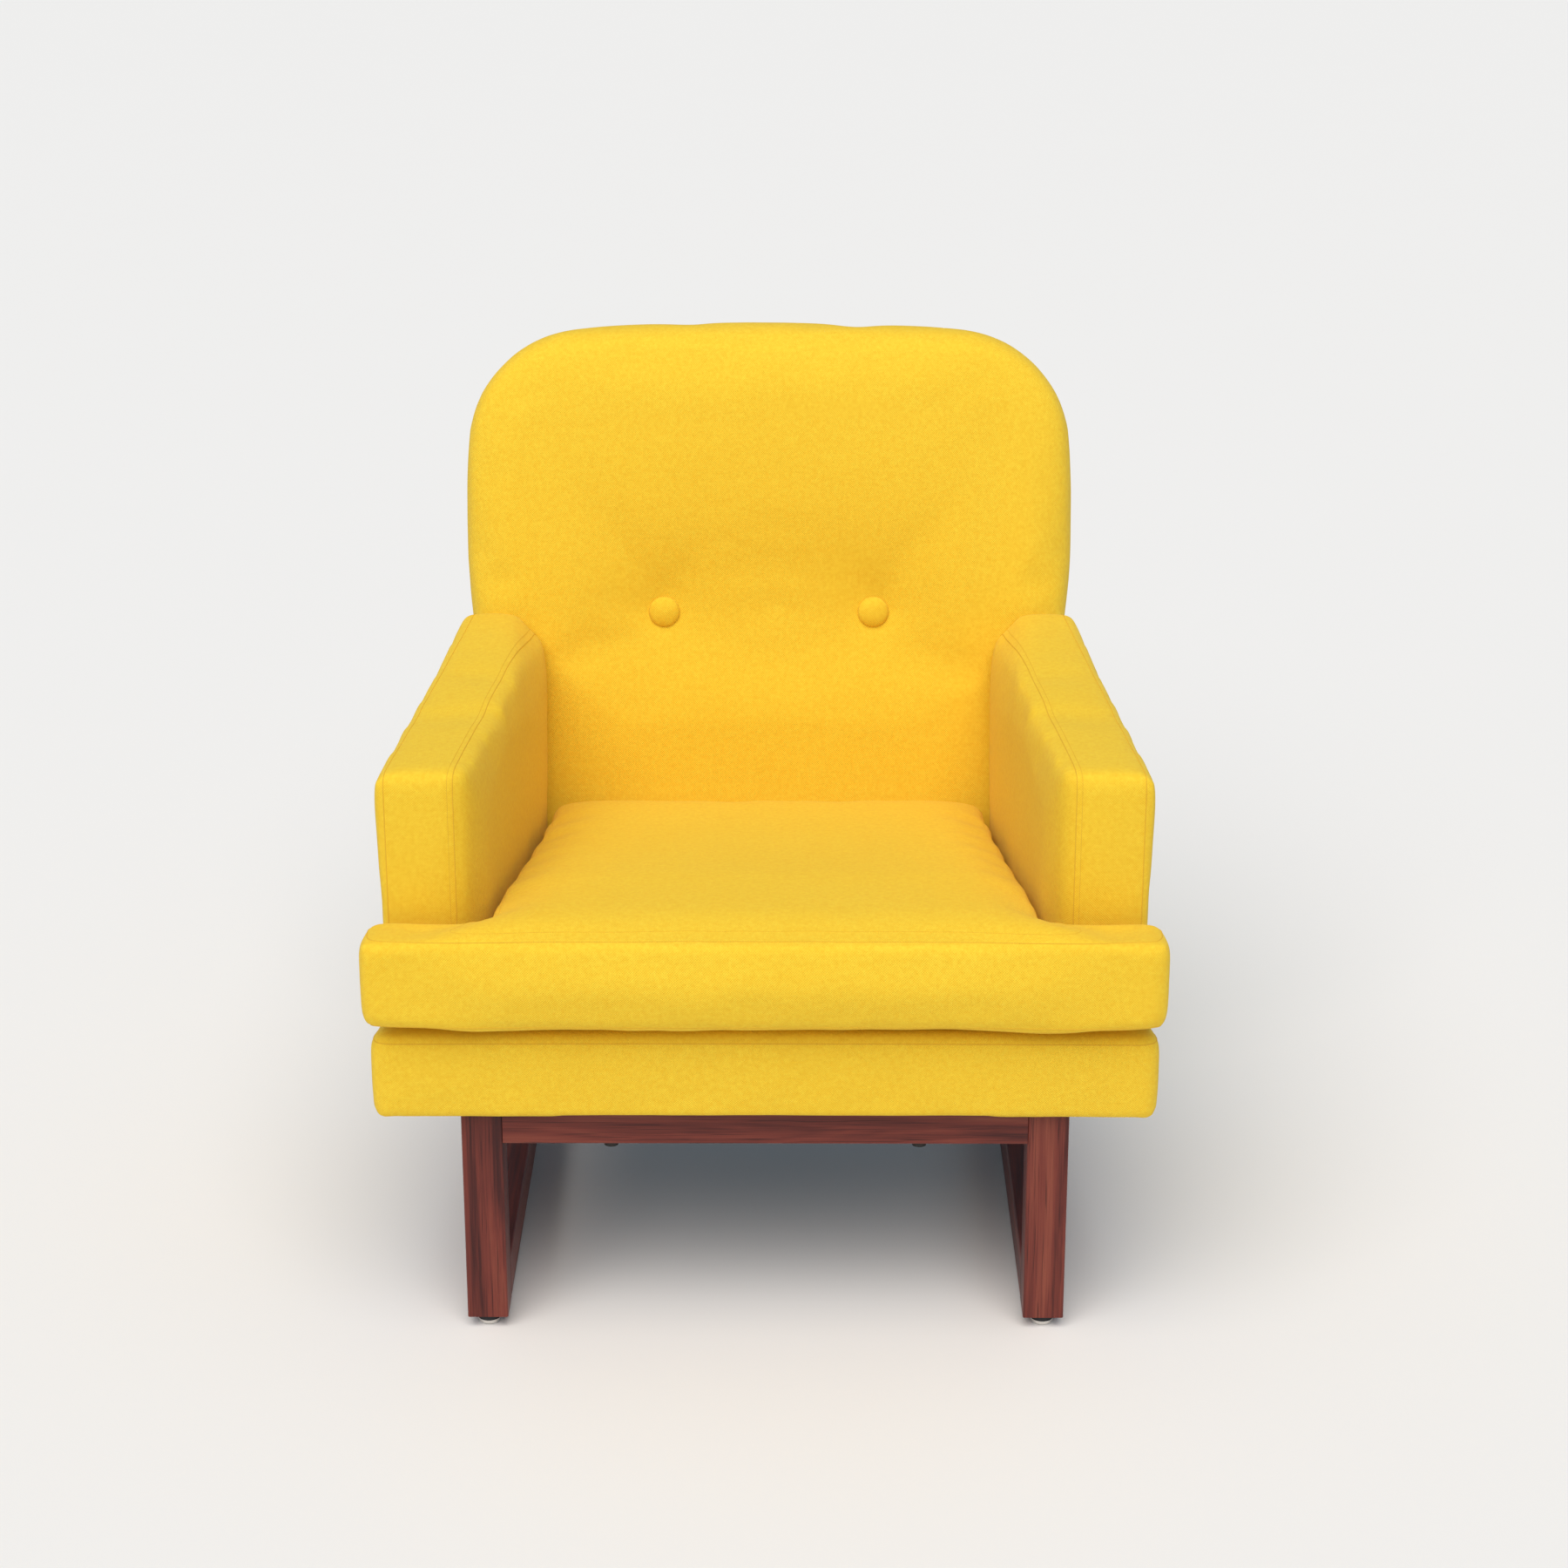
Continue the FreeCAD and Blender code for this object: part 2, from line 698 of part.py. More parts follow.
def make_springs():
    """Sinuous springs from the front rail to the rear rail, and the clips that hold them."""
    gradient = -number("tan(sizes.seat_slope)")
    wire = value_of("spring_wire")
    half_clip = value_of("clip_depth") / 2
    start_y = doc.places.rail_front + half_clip
    end_y = doc.places.rear_rail_front - half_clip
    start_z = number(height_on(deck_line(f"places.spring_drop + {wire} / 2"), str(start_y)))
    clips = []
    for index in range(SPRINGS):
        x = (index - (SPRINGS - 1) / 2) * value_of("spring_spacing")
        path = spring_path(x, start_y, end_y, start_z, gradient)
        first = path.Edges[0]
        circle = Part.Wire([Part.Circle(first.valueAt(0), FreeCAD.Vector(1, 0, 0), wire / 2).toShape()])
        spring = doc.addObject("Part::Feature", f"seat_spring_{index + 1}")
        spring.Shape = path.makePipeShell([circle], True, False)
        keep(spring, spring.Name)
        front_bend = first.CenterOfMass
        rear_bend = path.Edges[-1].CenterOfMass
        clips.append(make_clip(x, front_bend, front_bend.y + half_clip, number(front_rail_top())))
        clips.append(make_clip(x, rear_bend, doc.places.rear_rail_front,
                               rear_bend.z - value_of("clip_height") + wire))
    keep(group("spring_clips", clips), "spring_clips")


def make_clip(x, bend, rear, bottom):
    """A folded steel clip round the last straight run of a spring."""
    wire = value_of("spring_wire")
    half_clip = value_of("clip_depth") / 2
    width = value_of("clip_width")
    top = bend.z + wire / 2 - half_clip * number("tan(sizes.seat_slope)")
    bed = Part.makeCylinder(wire / 2, WIDE, FreeCAD.Vector(-WIDE / 2, bend.y, bend.z), FreeCAD.Vector(1, 0, 0))
    corner = FreeCAD.Vector(x - width / 2, bend.y - half_clip, bottom)
    clip = doc.addObject("Part::Feature", "spring_clip")
    clip.Shape = Part.makeBox(width, rear - corner.y, top - bottom, corner).cut(bed)
    return clip


# ---------------------------------------------------------------- arms

def post_profile(front, rear, bottom, top_line):
    """Side view of an upright piece of the arm with its top cut to a sloping line."""
    return (
        (front, bottom),
        (rear, bottom),
        (rear, height_on(top_line, rear)),
        (front, height_on(top_line, front)),
    )


def arm_places():
    """Front and rear faces of the two posts of an arm."""
    front = "places.arm_front + sizes.arm_front_padding"
    front_end = f"{front} + sizes.arm_post_depth"
    rear_end = f"{meets_back(deck_line('sizes.decking_thickness'))[0]} - sizes.arm_rear_padding"
    rear = f"({rear_end} - sizes.arm_post_depth)"
    return front, front_end, rear, rear_end


def make_arm_frame(side_name, side, bolts):
    """Two posts that stand inside the seat rail, and the rail across their tops."""
    front, front_end, rear, rear_end = arm_places()
    outer = "sizes.boxing_side + sizes.side_rail_thickness"
    inner = f"{outer} + sizes.arm_post_width"
    rail_bottom = arm_line("sizes.arm_top_padding + sizes.arm_rail_height")
    rail_top = arm_line("sizes.arm_top_padding")
    block_top = "places.frame_bottom + sizes.corner_block_height"
    front_post = along(f"arm_front_post_{side_name}_blank", side, outer, inner,
                       post_profile(front, front_end, block_top, rail_bottom))
    rear_post = along(f"arm_rear_post_{side_name}_blank", side, outer, inner,
                      post_profile(rear, rear_end, "places.frame_bottom", rail_bottom))
    rail = along(f"arm_top_rail_{side_name}", side, outer, inner, (
        (front, height_on(rail_bottom, front)),
        (rear_end, height_on(rail_bottom, rear_end)),
        (rear_end, height_on(rail_top, rear_end)),
        (front, height_on(rail_top, front)),
    ))
    keep(cut(f"arm_front_post_{side_name}", front_post, [bolts]), f"arm_front_post_{side_name}")
    keep(cut(f"arm_rear_post_{side_name}", rear_post, [bolts]), f"arm_rear_post_{side_name}")
    keep(rail, f"arm_top_rail_{side_name}")
    return [front_post, rear_post, rail]


def make_arm_pad(side_name, side, frame):
    """The padded arm, from the deck up, closed round its frame."""
    inner = "sizes.arm_inset + sizes.arm_thickness"
    block = along(f"arm_block_{side_name}", side, "sizes.arm_inset", inner, (
        ("places.arm_front", height_on(deck_line(), "places.arm_front")),
        meets_back(deck_line()),
        meets_back(arm_line()),
        ("places.arm_front", "sizes.arm_height"),
    ))
    doc.recompute()
    front_limit = doc.places.arm_front + 1
    base_level = value_of("deck_front_height")
    top_level = value_of("arm_height") - 1
    long_enough = value_of("arm_thickness") * 2

    def outer_edge(edge):
        centre = edge.CenterOfMass
        upright = centre.y < front_limit and edge.BoundBox.ZLength > (top_level - base_level) / 2
        on_top = centre.z > top_level and edge.BoundBox.YLength > long_enough
        at_front_top = centre.y < front_limit and centre.z > top_level
        return upright or on_top or at_front_top

    soft = rounded(f"arm_soft_{side_name}", block, value_of("arm_round"), outer_edge)
    keep(cut(f"arm_pad_{side_name}", soft, frame), f"arm_pad_{side_name}")


def make_arm_bolts():
    """A bolt through each side rail into each arm post."""
    front, front_end, rear, rear_end = arm_places()
    bolts = []
    for _, side in SIDES:
        for face, back_face, drop in (
            (front, front_end, "sizes.front_bolt_drop"),
            (rear, rear_end, "sizes.rear_bolt_drop"),
        ):
            middle = f"(({face}) + ({back_face})) / 2"
            height = height_on(deck_line(drop), middle)
            outer = side_x("sizes.boxing_side + sizes.bolt_inset", middle)
            start = f"-{outer}" if side == LEFT else f"{outer} - sizes.bolt_length"
            bolts.append(rod("arm_bolt", "sizes.bolt_diameter", "sizes.bolt_length", (1, 0, 0),
                             start, middle, height))
    return keep(group("arm_bolts", bolts), "arm_bolts")


# ---------------------------------------------------------------- back

def make_back_bolts():
    """Two bolts through the rear rail into each upright."""
    bolts = []
    for side in (LEFT, RIGHT):
        for share in ("1 / 4", "3 / 4"):
            bolts.append(rod(
                "back_bolt", "sizes.bolt_diameter", "sizes.bolt_length", (0, 1, 0),
                f"{side} * (places.upright_half - sizes.upright_width / 2)",
                "places.rear_rail_front + sizes.bolt_inset",
                f"places.frame_bottom + (places.rear_rail_top - places.frame_bottom) * {share}",
            ))
    return keep(group("back_bolts", bolts), "back_bolts")


def make_uprights(bolts):
    """Two uprights, straight behind the rear rail and raked above it."""
    bottom = "places.frame_bottom"
    shoulder = "places.rear_rail_top"
    top = "sizes.base_height + places.upright_length * cos(sizes.rake_angle)"
    front_depth = "sizes.back_front_padding"
    rear_depth = "sizes.back_front_padding + sizes.upright_depth"
    profile = (
        ("places.rear_rail_rear", bottom),
        ("places.rear_rail_rear", shoulder),
        (raked_y(shoulder, front_depth), shoulder),
        (raked_y(top, front_depth), top),
        (raked_y(top, rear_depth), top),
        (raked_y(bottom, rear_depth), bottom),
    )
    blanks = []
    for side_name, side in SIDES:
        label = f"back_upright_{side_name}"
        blank = prism(f"{label}_blank", "YZ_Plane", profile, "sizes.upright_width")
        start = "-places.upright_half" if side == LEFT else "places.upright_half - sizes.upright_width"
        place_at(blank, start)
        keep(cut(label, blank, [bolts]), label)
        blanks.append(blank)
    return blanks


def back_rail(name, height, up):
    """A rail between the uprights, flush with their front faces."""
    clear_half = "(places.upright_half - sizes.upright_width)"
    rail = box(name, f"2 * {clear_half}", "sizes.back_rail_thickness", height, "0", "0", "0")
    lean_back(rail, f"-{clear_half}", "sizes.back_front_padding", up)
    return rail


def make_back_rails(ties):
    """Top rail, the rail that the buttons are tied to, and the low rail."""
    top_place = "places.upright_length - sizes.back_top_rail_height"
    top = keep(back_rail("back_top_rail", "sizes.back_top_rail_height", top_place), "back_top_rail")
    low = keep(back_rail("back_low_rail", "sizes.low_rail_height", "sizes.low_rail_place"), "back_low_rail")
    middle = back_rail("button_rail_blank", "sizes.button_rail_height",
                       "sizes.button_place - sizes.button_rail_height / 2")
    keep(cut("back_button_rail", middle, [ties]), "back_button_rail")
    return [top, low, middle]


def make_straps():
    """Upright webbing straps, tacked to the front of the low and top rails."""
    straps = []
    for place in (-1, 0, 1):
        strap = box("back_strap", "sizes.strap_width", "sizes.strap_thickness",
                    "places.upright_length - sizes.low_rail_place", "0", "0", "0")
        lean_back(strap, f"{place} * sizes.strap_spacing - sizes.strap_width / 2",
                  "sizes.back_front_padding - sizes.strap_thickness", "sizes.low_rail_place")
        straps.append(strap)
    return straps


def make_buttons():
    """Two domed covered buttons, sunk in the face of the back."""
    radius = "sizes.button_diameter / 2"
    dome = [(f"{radius} * {across_share}", f"sizes.button_dome * {up_share}")
            for across_share, up_share in BUTTON_DOME]
    buttons = []
    for side_name, side in SIDES:
        button = turned(f"button_{side_name}", (
            ("0", "-sizes.button_rim"),
            (radius, "-sizes.button_rim"),
            (radius, "0"),
            *dome,
            ("0", "sizes.button_dome"),
        ))
        button.Placement = FreeCAD.Placement(
            FreeCAD.Vector(), FreeCAD.Rotation(FreeCAD.Vector(1, 0, 0), 90))
        button.setExpression("Placement.Rotation.Angle", "90 - sizes.rake_angle")
        place_at(
            button,
            f"{side} * sizes.button_spacing / 2",
            "places.back_foot + sizes.button_place * sin(sizes.rake_angle)",
            "sizes.base_height + sizes.button_place * cos(sizes.rake_angle)",
        )
        keep(button, f"button_{side_name}")
        buttons.append(button)
    return buttons


def make_ties():
    """Twine from each button through the padding and its rail to a clasp behind the rail."""
    rail_back = "sizes.back_front_padding + sizes.back_rail_thickness"
    ties = []
    for side in (LEFT, RIGHT):
        tie = turned("button_tie", (
            ("0", "sizes.button_rim"),
            ("sizes.twine_diameter / 2", "sizes.button_rim"),
            ("sizes.twine_diameter / 2", rail_back),
            ("sizes.clasp_diameter / 2", rail_back),
            ("sizes.clasp_diameter / 2", f"{rail_back} + sizes.clasp_diameter / 4"),
            ("0", f"{rail_back} + sizes.clasp_diameter / 4"),
        ))
        tie.Placement = FreeCAD.Placement(
            FreeCAD.Vector(), FreeCAD.Rotation(FreeCAD.Vector(-1, 0, 0), 90))
        tie.setExpression("Placement.Rotation.Angle", "90 + sizes.rake_angle")
        place_at(
            tie,
            f"{side} * sizes.button_spacing / 2",
            "places.back_foot + sizes.button_place * sin(sizes.rake_angle)",
            "sizes.base_height + sizes.button_place * cos(sizes.rake_angle)",
        )
        ties.append(tie)
    return keep(group("button_ties", ties), "button_ties")


def make_spring_room():
    """The room in front of the rear rail where the springs come to their clips."""
    inner = "sizes.boxing_side + sizes.side_rail_thickness"
    top = meets_back(deck_line())[1]
    return across("spring_room", inner, (
        ("places.base_front", "sizes.base_height"),
        ("places.rear_rail_front", "sizes.base_height"),
        ("places.rear_rail_front", top),
        ("places.base_front", top),
    ))


def make_back_pad(inside):
    """The upholstered back: broad round shoulders and a slightly crowned top."""
    low = "places.back_half"
    wide = "(places.back_half + sizes.back_flare)"
    shoulder = "(places.back_half - sizes.back_taper)"
    outline = (
        (f"-{low}", f"-{SPARE}"),
        (low, f"-{SPARE}"),
        (low, "sizes.back_wide_height / 2"),
        (wide, "sizes.back_wide_height"),
        (shoulder, "sizes.back_length - sizes.back_crown"),
        ("0", "sizes.back_length"),
        (f"-{shoulder}", "sizes.back_length - sizes.back_crown"),
        (f"-{wide}", "sizes.back_wide_height"),
        (f"-{low}", "sizes.back_wide_height / 2"),
    )
    body = prism("back_block", "XZ_Plane", outline, "sizes.back_thickness")
    body.Tip.Reversed = True
    doc.recompute()
    top = value_of("back_length")
    crown = value_of("back_crown")

    def shoulder_edge(edge):
        centre = edge.CenterOfMass
        across_panel = edge.BoundBox.XLength < 0.1 and edge.BoundBox.ZLength < 0.1
        return across_panel and abs(centre.z - (top - crown)) < 1

    panel = body.Tip
    corners = body.newObject("PartDesign::Fillet", "back_corners")
    corners.Base = (panel, [
        f"Edge{index}" for index, edge in enumerate(panel.Shape.Edges, start=1) if shoulder_edge(edge)
    ])
    corners.setExpression("Radius", "sizes.back_corner_radius")
    lean_back(body)
    doc.recompute()
    inverse = body.Placement.inverse()
    low_limit = 1 - SPARE

    def rim_edge(edge):
        centre = inverse.multVec(edge.CenterOfMass)
        box_points = [inverse.multVec(vertex.Point) for vertex in edge.Vertexes]
        depth = max(point.y for point in box_points) - min(point.y for point in box_points)
        return depth < 0.1 and centre.z > low_limit

    soft = rounded("back_soft", body, value_of("back_round"), rim_edge)
    ground = box("back_trim", str(WIDE), str(WIDE), "sizes.base_height", f"-{WIDE} / 2", f"-{WIDE} / 2",
                 "places.frame_bottom - sizes.base_height")
    keep(cut("back_pad", soft, [ground, *inside]), "back_pad")


# ---------------------------------------------------------------- seat cushion

def cushion_line(inset):
    """Top of the cushion behind its crown."""
    y = "(places.cushion_front + sizes.cushion_crown_place)"
    z = (
        f"({height_on(deck_line(), y)} + sizes.cushion_lift + sizes.cushion_height"
        f" + sizes.cushion_crown - ({inset}))"
    )
    return (y, z, "(-tan(sizes.cushion_slope))")


def cushion_block(name, inset):
    """The T-shaped cushion, or the same shape drawn in by an inset."""
    front = f"(places.cushion_front + {inset})"
    ears_rear = f"(places.arm_front - sizes.cushion_gap - {inset})"
    ear = f"(places.deck_half + sizes.cushion_side_overhang - {inset})"
    neck_inset = f"sizes.arm_inset + sizes.arm_thickness + sizes.cushion_gap + {inset}"
    plan = (
        (f"-{ear}", front),
        (ear, front),
        (ear, ears_rear),
        (side_x(neck_inset, ears_rear), ears_rear),
        (side_x(neck_inset, BEYOND), BEYOND),
        (f"-{side_x(neck_inset, BEYOND)}", BEYOND),
        (f"-{side_x(neck_inset, ears_rear)}", ears_rear),
        (f"-{ear}", ears_rear),
    )
    bottom = deck_line(f"-(sizes.cushion_lift + {inset})")
    clear = f"-(sizes.cushion_gap + {inset})"
    top = cushion_line(inset)
    profile = (
        (front, height_on(bottom, front)),
        meets_back(bottom, clear),
        meets_back(top, clear),
        (top[0], top[1]),
        (front, f"{height_on(bottom, front)} + sizes.cushion_height - 2 * {inset}"),
    )
    return shaped(name, plan, profile)


def cushion_edge(edge):
    """The long rims of the cushion and its four upright corners at the ears."""
    size = edge.BoundBox
    centre = edge.CenterOfMass
    upright = size.ZLength > value_of("cushion_height") / 2
    if upright:
        return abs(centre.x) > doc.places.deck_half - value_of("cushion_round")
    spans = size.XLength > value_of("base_width") / 2
    from_front = centre.y - doc.places.cushion_front
    crown = value_of("cushion_crown_place")
    ridge = spans and crown / 2 < from_front < crown * 3 / 2
    return max(size.XLength, size.YLength) > value_of("cushion_round") and not ridge


def make_cushion():
    """Ticking, foam core and the zip in the rear boxing."""
    radius = value_of("cushion_round")
    outer = rounded("cushion_soft", cushion_block("cushion_block", "0"), radius, cushion_edge)
    filling = cushion_block("cushion_filling", "sizes.ticking_thickness")
    core = rounded("cushion_core", filling, radius - value_of("ticking_thickness"), cushion_edge)
    keep(core, "cushion_core")
    zip_place = meets_back(deck_line("-(sizes.cushion_lift + sizes.cushion_height / 2)"), "-sizes.cushion_gap")
    zip_strip = box("cushion_zip", "sizes.zip_length", "sizes.zip_thickness", "sizes.zip_width", "0", "0", "0")
    lean_back(
        zip_strip,
        "-sizes.zip_length / 2",
        "-(sizes.cushion_gap + sizes.zip_thickness)",
        f"({zip_place[1]} - sizes.base_height) / cos(sizes.rake_angle) - sizes.zip_width / 2",
    )
    keep(zip_strip, "cushion_zip")
    keep(cut("cushion_cover", outer, [core, zip_strip]), "cushion_cover")


# ---------------------------------------------------------------- whole chair

def build():
    """Make every piece of the chair."""
    make_sizes()
    make_places()
    screws = make_base_screws()
    make_base(make_dowels(), screws)
    arm_bolts = make_arm_bolts()
    back_bolts = make_back_bolts()
    make_seat_rails(screws, arm_bolts, back_bolts)
    make_corner_blocks()
    arm_blanks = []
    for side_name, side in SIDES:
        blanks = make_arm_frame(side_name, side, arm_bolts)
        make_arm_pad(side_name, side, blanks)
        arm_blanks.extend(blanks[:2])
    make_deck(arm_blanks)
    make_dust_cover(screws)
    make_springs()
    uprights = make_uprights(back_bolts)
    ties = make_ties()
    buttons = make_buttons()
    rails = make_back_rails(ties)
    straps = make_straps()
    keep(cut("back_straps", group("back_webbing", straps), [ties]), "back_straps")
    rear_rail = next(node for node in nodes if node.Label == "seat_rear_rail")
    side_rails = [node for node in nodes if node.Label.startswith("seat_side_rail")]
    spring_room = make_spring_room()
    frame = [*uprights, *rails, *straps, rear_rail, *side_rails]
    make_back_pad([*frame, *buttons, ties, back_bolts, screws, spring_room])
    make_cushion()
    doc.recompute()


def check_model():
    """Stop if any object failed or any node has a null or invalid shape."""
    for item in doc.Objects:
        if "Invalid" in item.State or "Error" in item.State:
            raise RuntimeError(f"{item.Label} failed: {item.State}")
    for node in nodes:
        if node.Shape.isNull() or not node.Shape.isValid() or not node.Shape.Solids:
            raise RuntimeError(f"{node.Label} has no valid solid")


def write_parts():
    """One STEP file for each node."""
    os.makedirs("parts", exist_ok=True)
    for node in nodes:
        node.Shape.exportStep(os.path.join("parts", f"{node.Label}.step"))
    print(len(nodes), "nodes written")


build()
check_model()
write_parts()
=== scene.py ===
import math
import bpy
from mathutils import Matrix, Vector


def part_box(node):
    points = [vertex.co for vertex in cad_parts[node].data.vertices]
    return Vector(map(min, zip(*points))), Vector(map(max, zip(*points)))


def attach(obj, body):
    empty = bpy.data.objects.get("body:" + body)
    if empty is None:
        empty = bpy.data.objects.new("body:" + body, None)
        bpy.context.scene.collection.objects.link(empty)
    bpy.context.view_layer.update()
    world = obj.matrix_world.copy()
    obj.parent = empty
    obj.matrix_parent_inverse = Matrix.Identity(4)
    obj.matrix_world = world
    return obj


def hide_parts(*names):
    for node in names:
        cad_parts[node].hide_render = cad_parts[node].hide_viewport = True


bl_info = {
    "name": "Upholstered armchair",
    "version": (1, 0, 0),
    "blender": (4, 5, 0),
    "location": "View3D > Sidebar > Armchair",
    "description": "Dresses the packed armchair in wool, walnut and nickel, and sets its stage",
    "category": "Object",
}

import bmesh
import bpy
import numpy as np
from mathutils import Vector

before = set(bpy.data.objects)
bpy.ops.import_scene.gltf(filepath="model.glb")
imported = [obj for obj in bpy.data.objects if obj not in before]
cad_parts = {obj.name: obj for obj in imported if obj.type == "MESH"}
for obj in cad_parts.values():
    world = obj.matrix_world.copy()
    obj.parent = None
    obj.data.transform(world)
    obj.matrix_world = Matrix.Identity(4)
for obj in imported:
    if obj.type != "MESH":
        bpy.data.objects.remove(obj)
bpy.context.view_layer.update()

MM = 0.001
LEFT = -1
RIGHT = 1
SIDES = (("left", LEFT), ("right", RIGHT))
CHAIR = "chair"
LOOSE = "seat_cushion"

DECK_LOW, DECK_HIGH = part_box("deck_cover")
ARM_LOW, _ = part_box("arm_pad_right")
CUSHION_LOW, CUSHION_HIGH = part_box("cushion_cover")
_, BACK_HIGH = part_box("back_pad")
POST_LOW, POST_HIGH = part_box("front_post_right")

BASE_TOP = POST_HIGH[2]
DECK_FRONT = DECK_LOW[1]
DECK_HALF = 378 * MM
BACK_FOOT = 131.87 * MM
ARM_FRONT = ARM_LOW[1]
ARM_TOP = 573 * MM
TOE = math.tan(math.radians(4.93))
RAKE = math.radians(12)
SEAT_SLOPE = math.tan(math.radians(5))
ARM_SLOPE = math.tan(math.radians(0.9))
ARM_INSET = 5 * MM
ARM_THICKNESS = 96 * MM
BACK_HALF = 322 * MM
BACK_LENGTH = 658 * MM
BACK_THICKNESS = 125 * MM
BACK_SPREAD = 330.5 * MM
FLARE_UP = 0.48
CUSHION_HEIGHT = 113 * MM
CUSHION_CROWN = 180 * MM
CUSHION_GAP = 1.5 * MM
BUTTON_SPREAD = 113.5 * MM
BUTTON_UP = 347 * MM
BUTTON_RADIUS = 16.5 * MM
BEHIND = 0.3


# ---------------------------------------------------------------- planes of the frame

def side_x(inset, y):
    """Half width of the chair at a place along Y, less an inset."""
    return DECK_HALF - inset - (y - DECK_FRONT) * TOE


def back_y(z, depth=0.0):
    """Place along Y of the raked face of the back, or of a plane behind it."""
    return BACK_FOOT + (z - BASE_TOP) * math.tan(RAKE) + depth / math.cos(RAKE)


def deck_z(y):
    """Height of the sloping top of the deck."""
    return DECK_HIGH[2] - (y - DECK_FRONT) * SEAT_SLOPE


def arm_z(y):
    """Height of the top of the arms."""
    return ARM_TOP + (y - ARM_FRONT) * ARM_SLOPE


# ---------------------------------------------------------------- modelling steps

def alone(obj):
    """Select one object and nothing else."""
    if bpy.context.mode != "OBJECT":
        bpy.ops.object.mode_set(mode="OBJECT")
    bpy.ops.object.select_all(action="DESELECT")
    obj.select_set(True)
    bpy.context.view_layer.objects.active = obj


def named_primitive(name):
    """Name the primitive just added and put its place into its mesh."""
    obj = bpy.context.active_object
    obj.name = name
    obj.data.name = name
    bpy.ops.object.transform_apply(location=True, rotation=True, scale=True)
    return obj


def add_block(name, low, high):
    """A box between two corners, ready to be shaped."""
    low = Vector(low)
    high = Vector(high)
    bpy.ops.object.select_all(action="DESELECT")
    bpy.ops.mesh.primitive_cube_add(size=1, location=(low + high) / 2, scale=high - low)
    return named_primitive(name)


def pick(obj, kind, wanted):
    """Select the vertices, edges or faces for which wanted(item) is true."""
    bpy.ops.mesh.select_mode(type=kind)
    bpy.ops.mesh.select_all(action="DESELECT")
    mesh = bmesh.from_edit_mesh(obj.data)
    items = {"VERT": mesh.verts, "EDGE": mesh.edges, "FACE": mesh.faces}[kind]
    found = 0
    for item in items:
        if wanted(item):
            item.select_set(True)
            found += 1
    mesh.select_flush_mode()
    bmesh.update_edit_mesh(obj.data)
    return found


def middle(item):
    """Middle of an edge or face."""
    return sum((vert.co for vert in item.verts), Vector()) / len(item.verts)


def start_edit(obj):
    alone(obj)
    bpy.ops.object.mode_set(mode="EDIT")
    bpy.ops.mesh.select_mode(type="VERT")


def end_edit():
    bpy.ops.object.mode_set(mode="OBJECT")


def shift(obj, wanted, offset):
    """Move the vertices for which wanted(place) is true."""
    if pick(obj, "VERT", lambda vert: wanted(vert.co)):
        bpy.ops.transform.translate(value=offset)


def slice_at(obj, point, normal, clear_outer=False):
    """Cut all of the mesh with a plane, and close it again where a side is thrown away."""
    bpy.ops.mesh.select_all(action="SELECT")
    bpy.ops.mesh.bisect(plane_co=point, plane_no=normal, clear_outer=clear_outer, use_fill=clear_outer)


def ease(obj, wanted, width, segments):
    """Round the edges for which wanted(edge) is true."""
    if pick(obj, "EDGE", wanted):
        bpy.ops.mesh.bevel(offset=width, offset_type="OFFSET", segments=segments, profile=0.5,
                           affect="EDGES", clamp_overlap=True)


def apply_modifier(obj, kind, **values):
    """Add a modifier, set it and apply it."""
    alone(obj)
    modifier = obj.modifiers.new(kind.lower(), kind)
    for name, value in values.items():
        setattr(modifier, name, value)
    bpy.ops.object.modifier_apply(modifier=modifier.name)


def places_of(obj):
    """Vertex places as an array."""
    places = np.empty(len(obj.data.vertices) * 3)
    obj.data.vertices.foreach_get("co", places)
    return places.reshape(-1, 3)


def put_places(obj, places):
    """Write vertex places back."""
    obj.data.vertices.foreach_set("co", places.ravel())
    obj.data.update()


def close_mesh(obj, voxel):
    """One even skin over the shape."""
    alone(obj)
    apply_modifier(obj, "REMESH", mode="VOXEL", voxel_size=voxel, use_smooth_shade=True)
    apply_modifier(obj, "SMOOTH", factor=0.5, iterations=6)


def fill_with_air(obj, pressure, cap, relax=12, frames=20, held=None):
    """Blow the cover up a little as cloth, and limit how far any point moves."""
    before = places_of(obj)
    alone(obj)
    modifier = obj.modifiers.new("cover", "CLOTH")
    settings = modifier.settings
    settings.quality = 4
    settings.use_pressure = True
    settings.uniform_pressure_force = pressure
    settings.effector_weights.gravity = 0
    settings.tension_stiffness = 12
    settings.compression_stiffness = 12
    settings.bending_stiffness = 60
    settings.shrink_min = 0.01
    modifier.collision_settings.use_collision = False
    if held is not None:
        group = obj.vertex_groups.new(name="held")
        group.add([int(index) for index in held], 1.0, "REPLACE")
        settings.vertex_group_mass = "held"
    scene = bpy.context.scene
    modifier.point_cache.frame_start = 1
    modifier.point_cache.frame_end = frames
    for step in range(1, frames + 1):
        scene.frame_set(step)
        bpy.context.view_layer.update()
    bpy.ops.object.modifier_apply(modifier=modifier.name)
    scene.frame_set(1)
    obj.vertex_groups.clear()
    moved = places_of(obj) - before
    length = np.linalg.norm(moved, axis=1, keepdims=True)
    limited = cap * np.tanh(length / cap)
    put_places(obj, before + moved * limited / np.maximum(length, 1e-9))
    apply_modifier(obj, "SMOOTH", factor=0.5, iterations=relax)


def stretched_to(values, low, high):
    """Values spread evenly over a new range."""
    least = values.min()
    most = values.max()
    return low + (values - least) * (high - low) / (most - least)


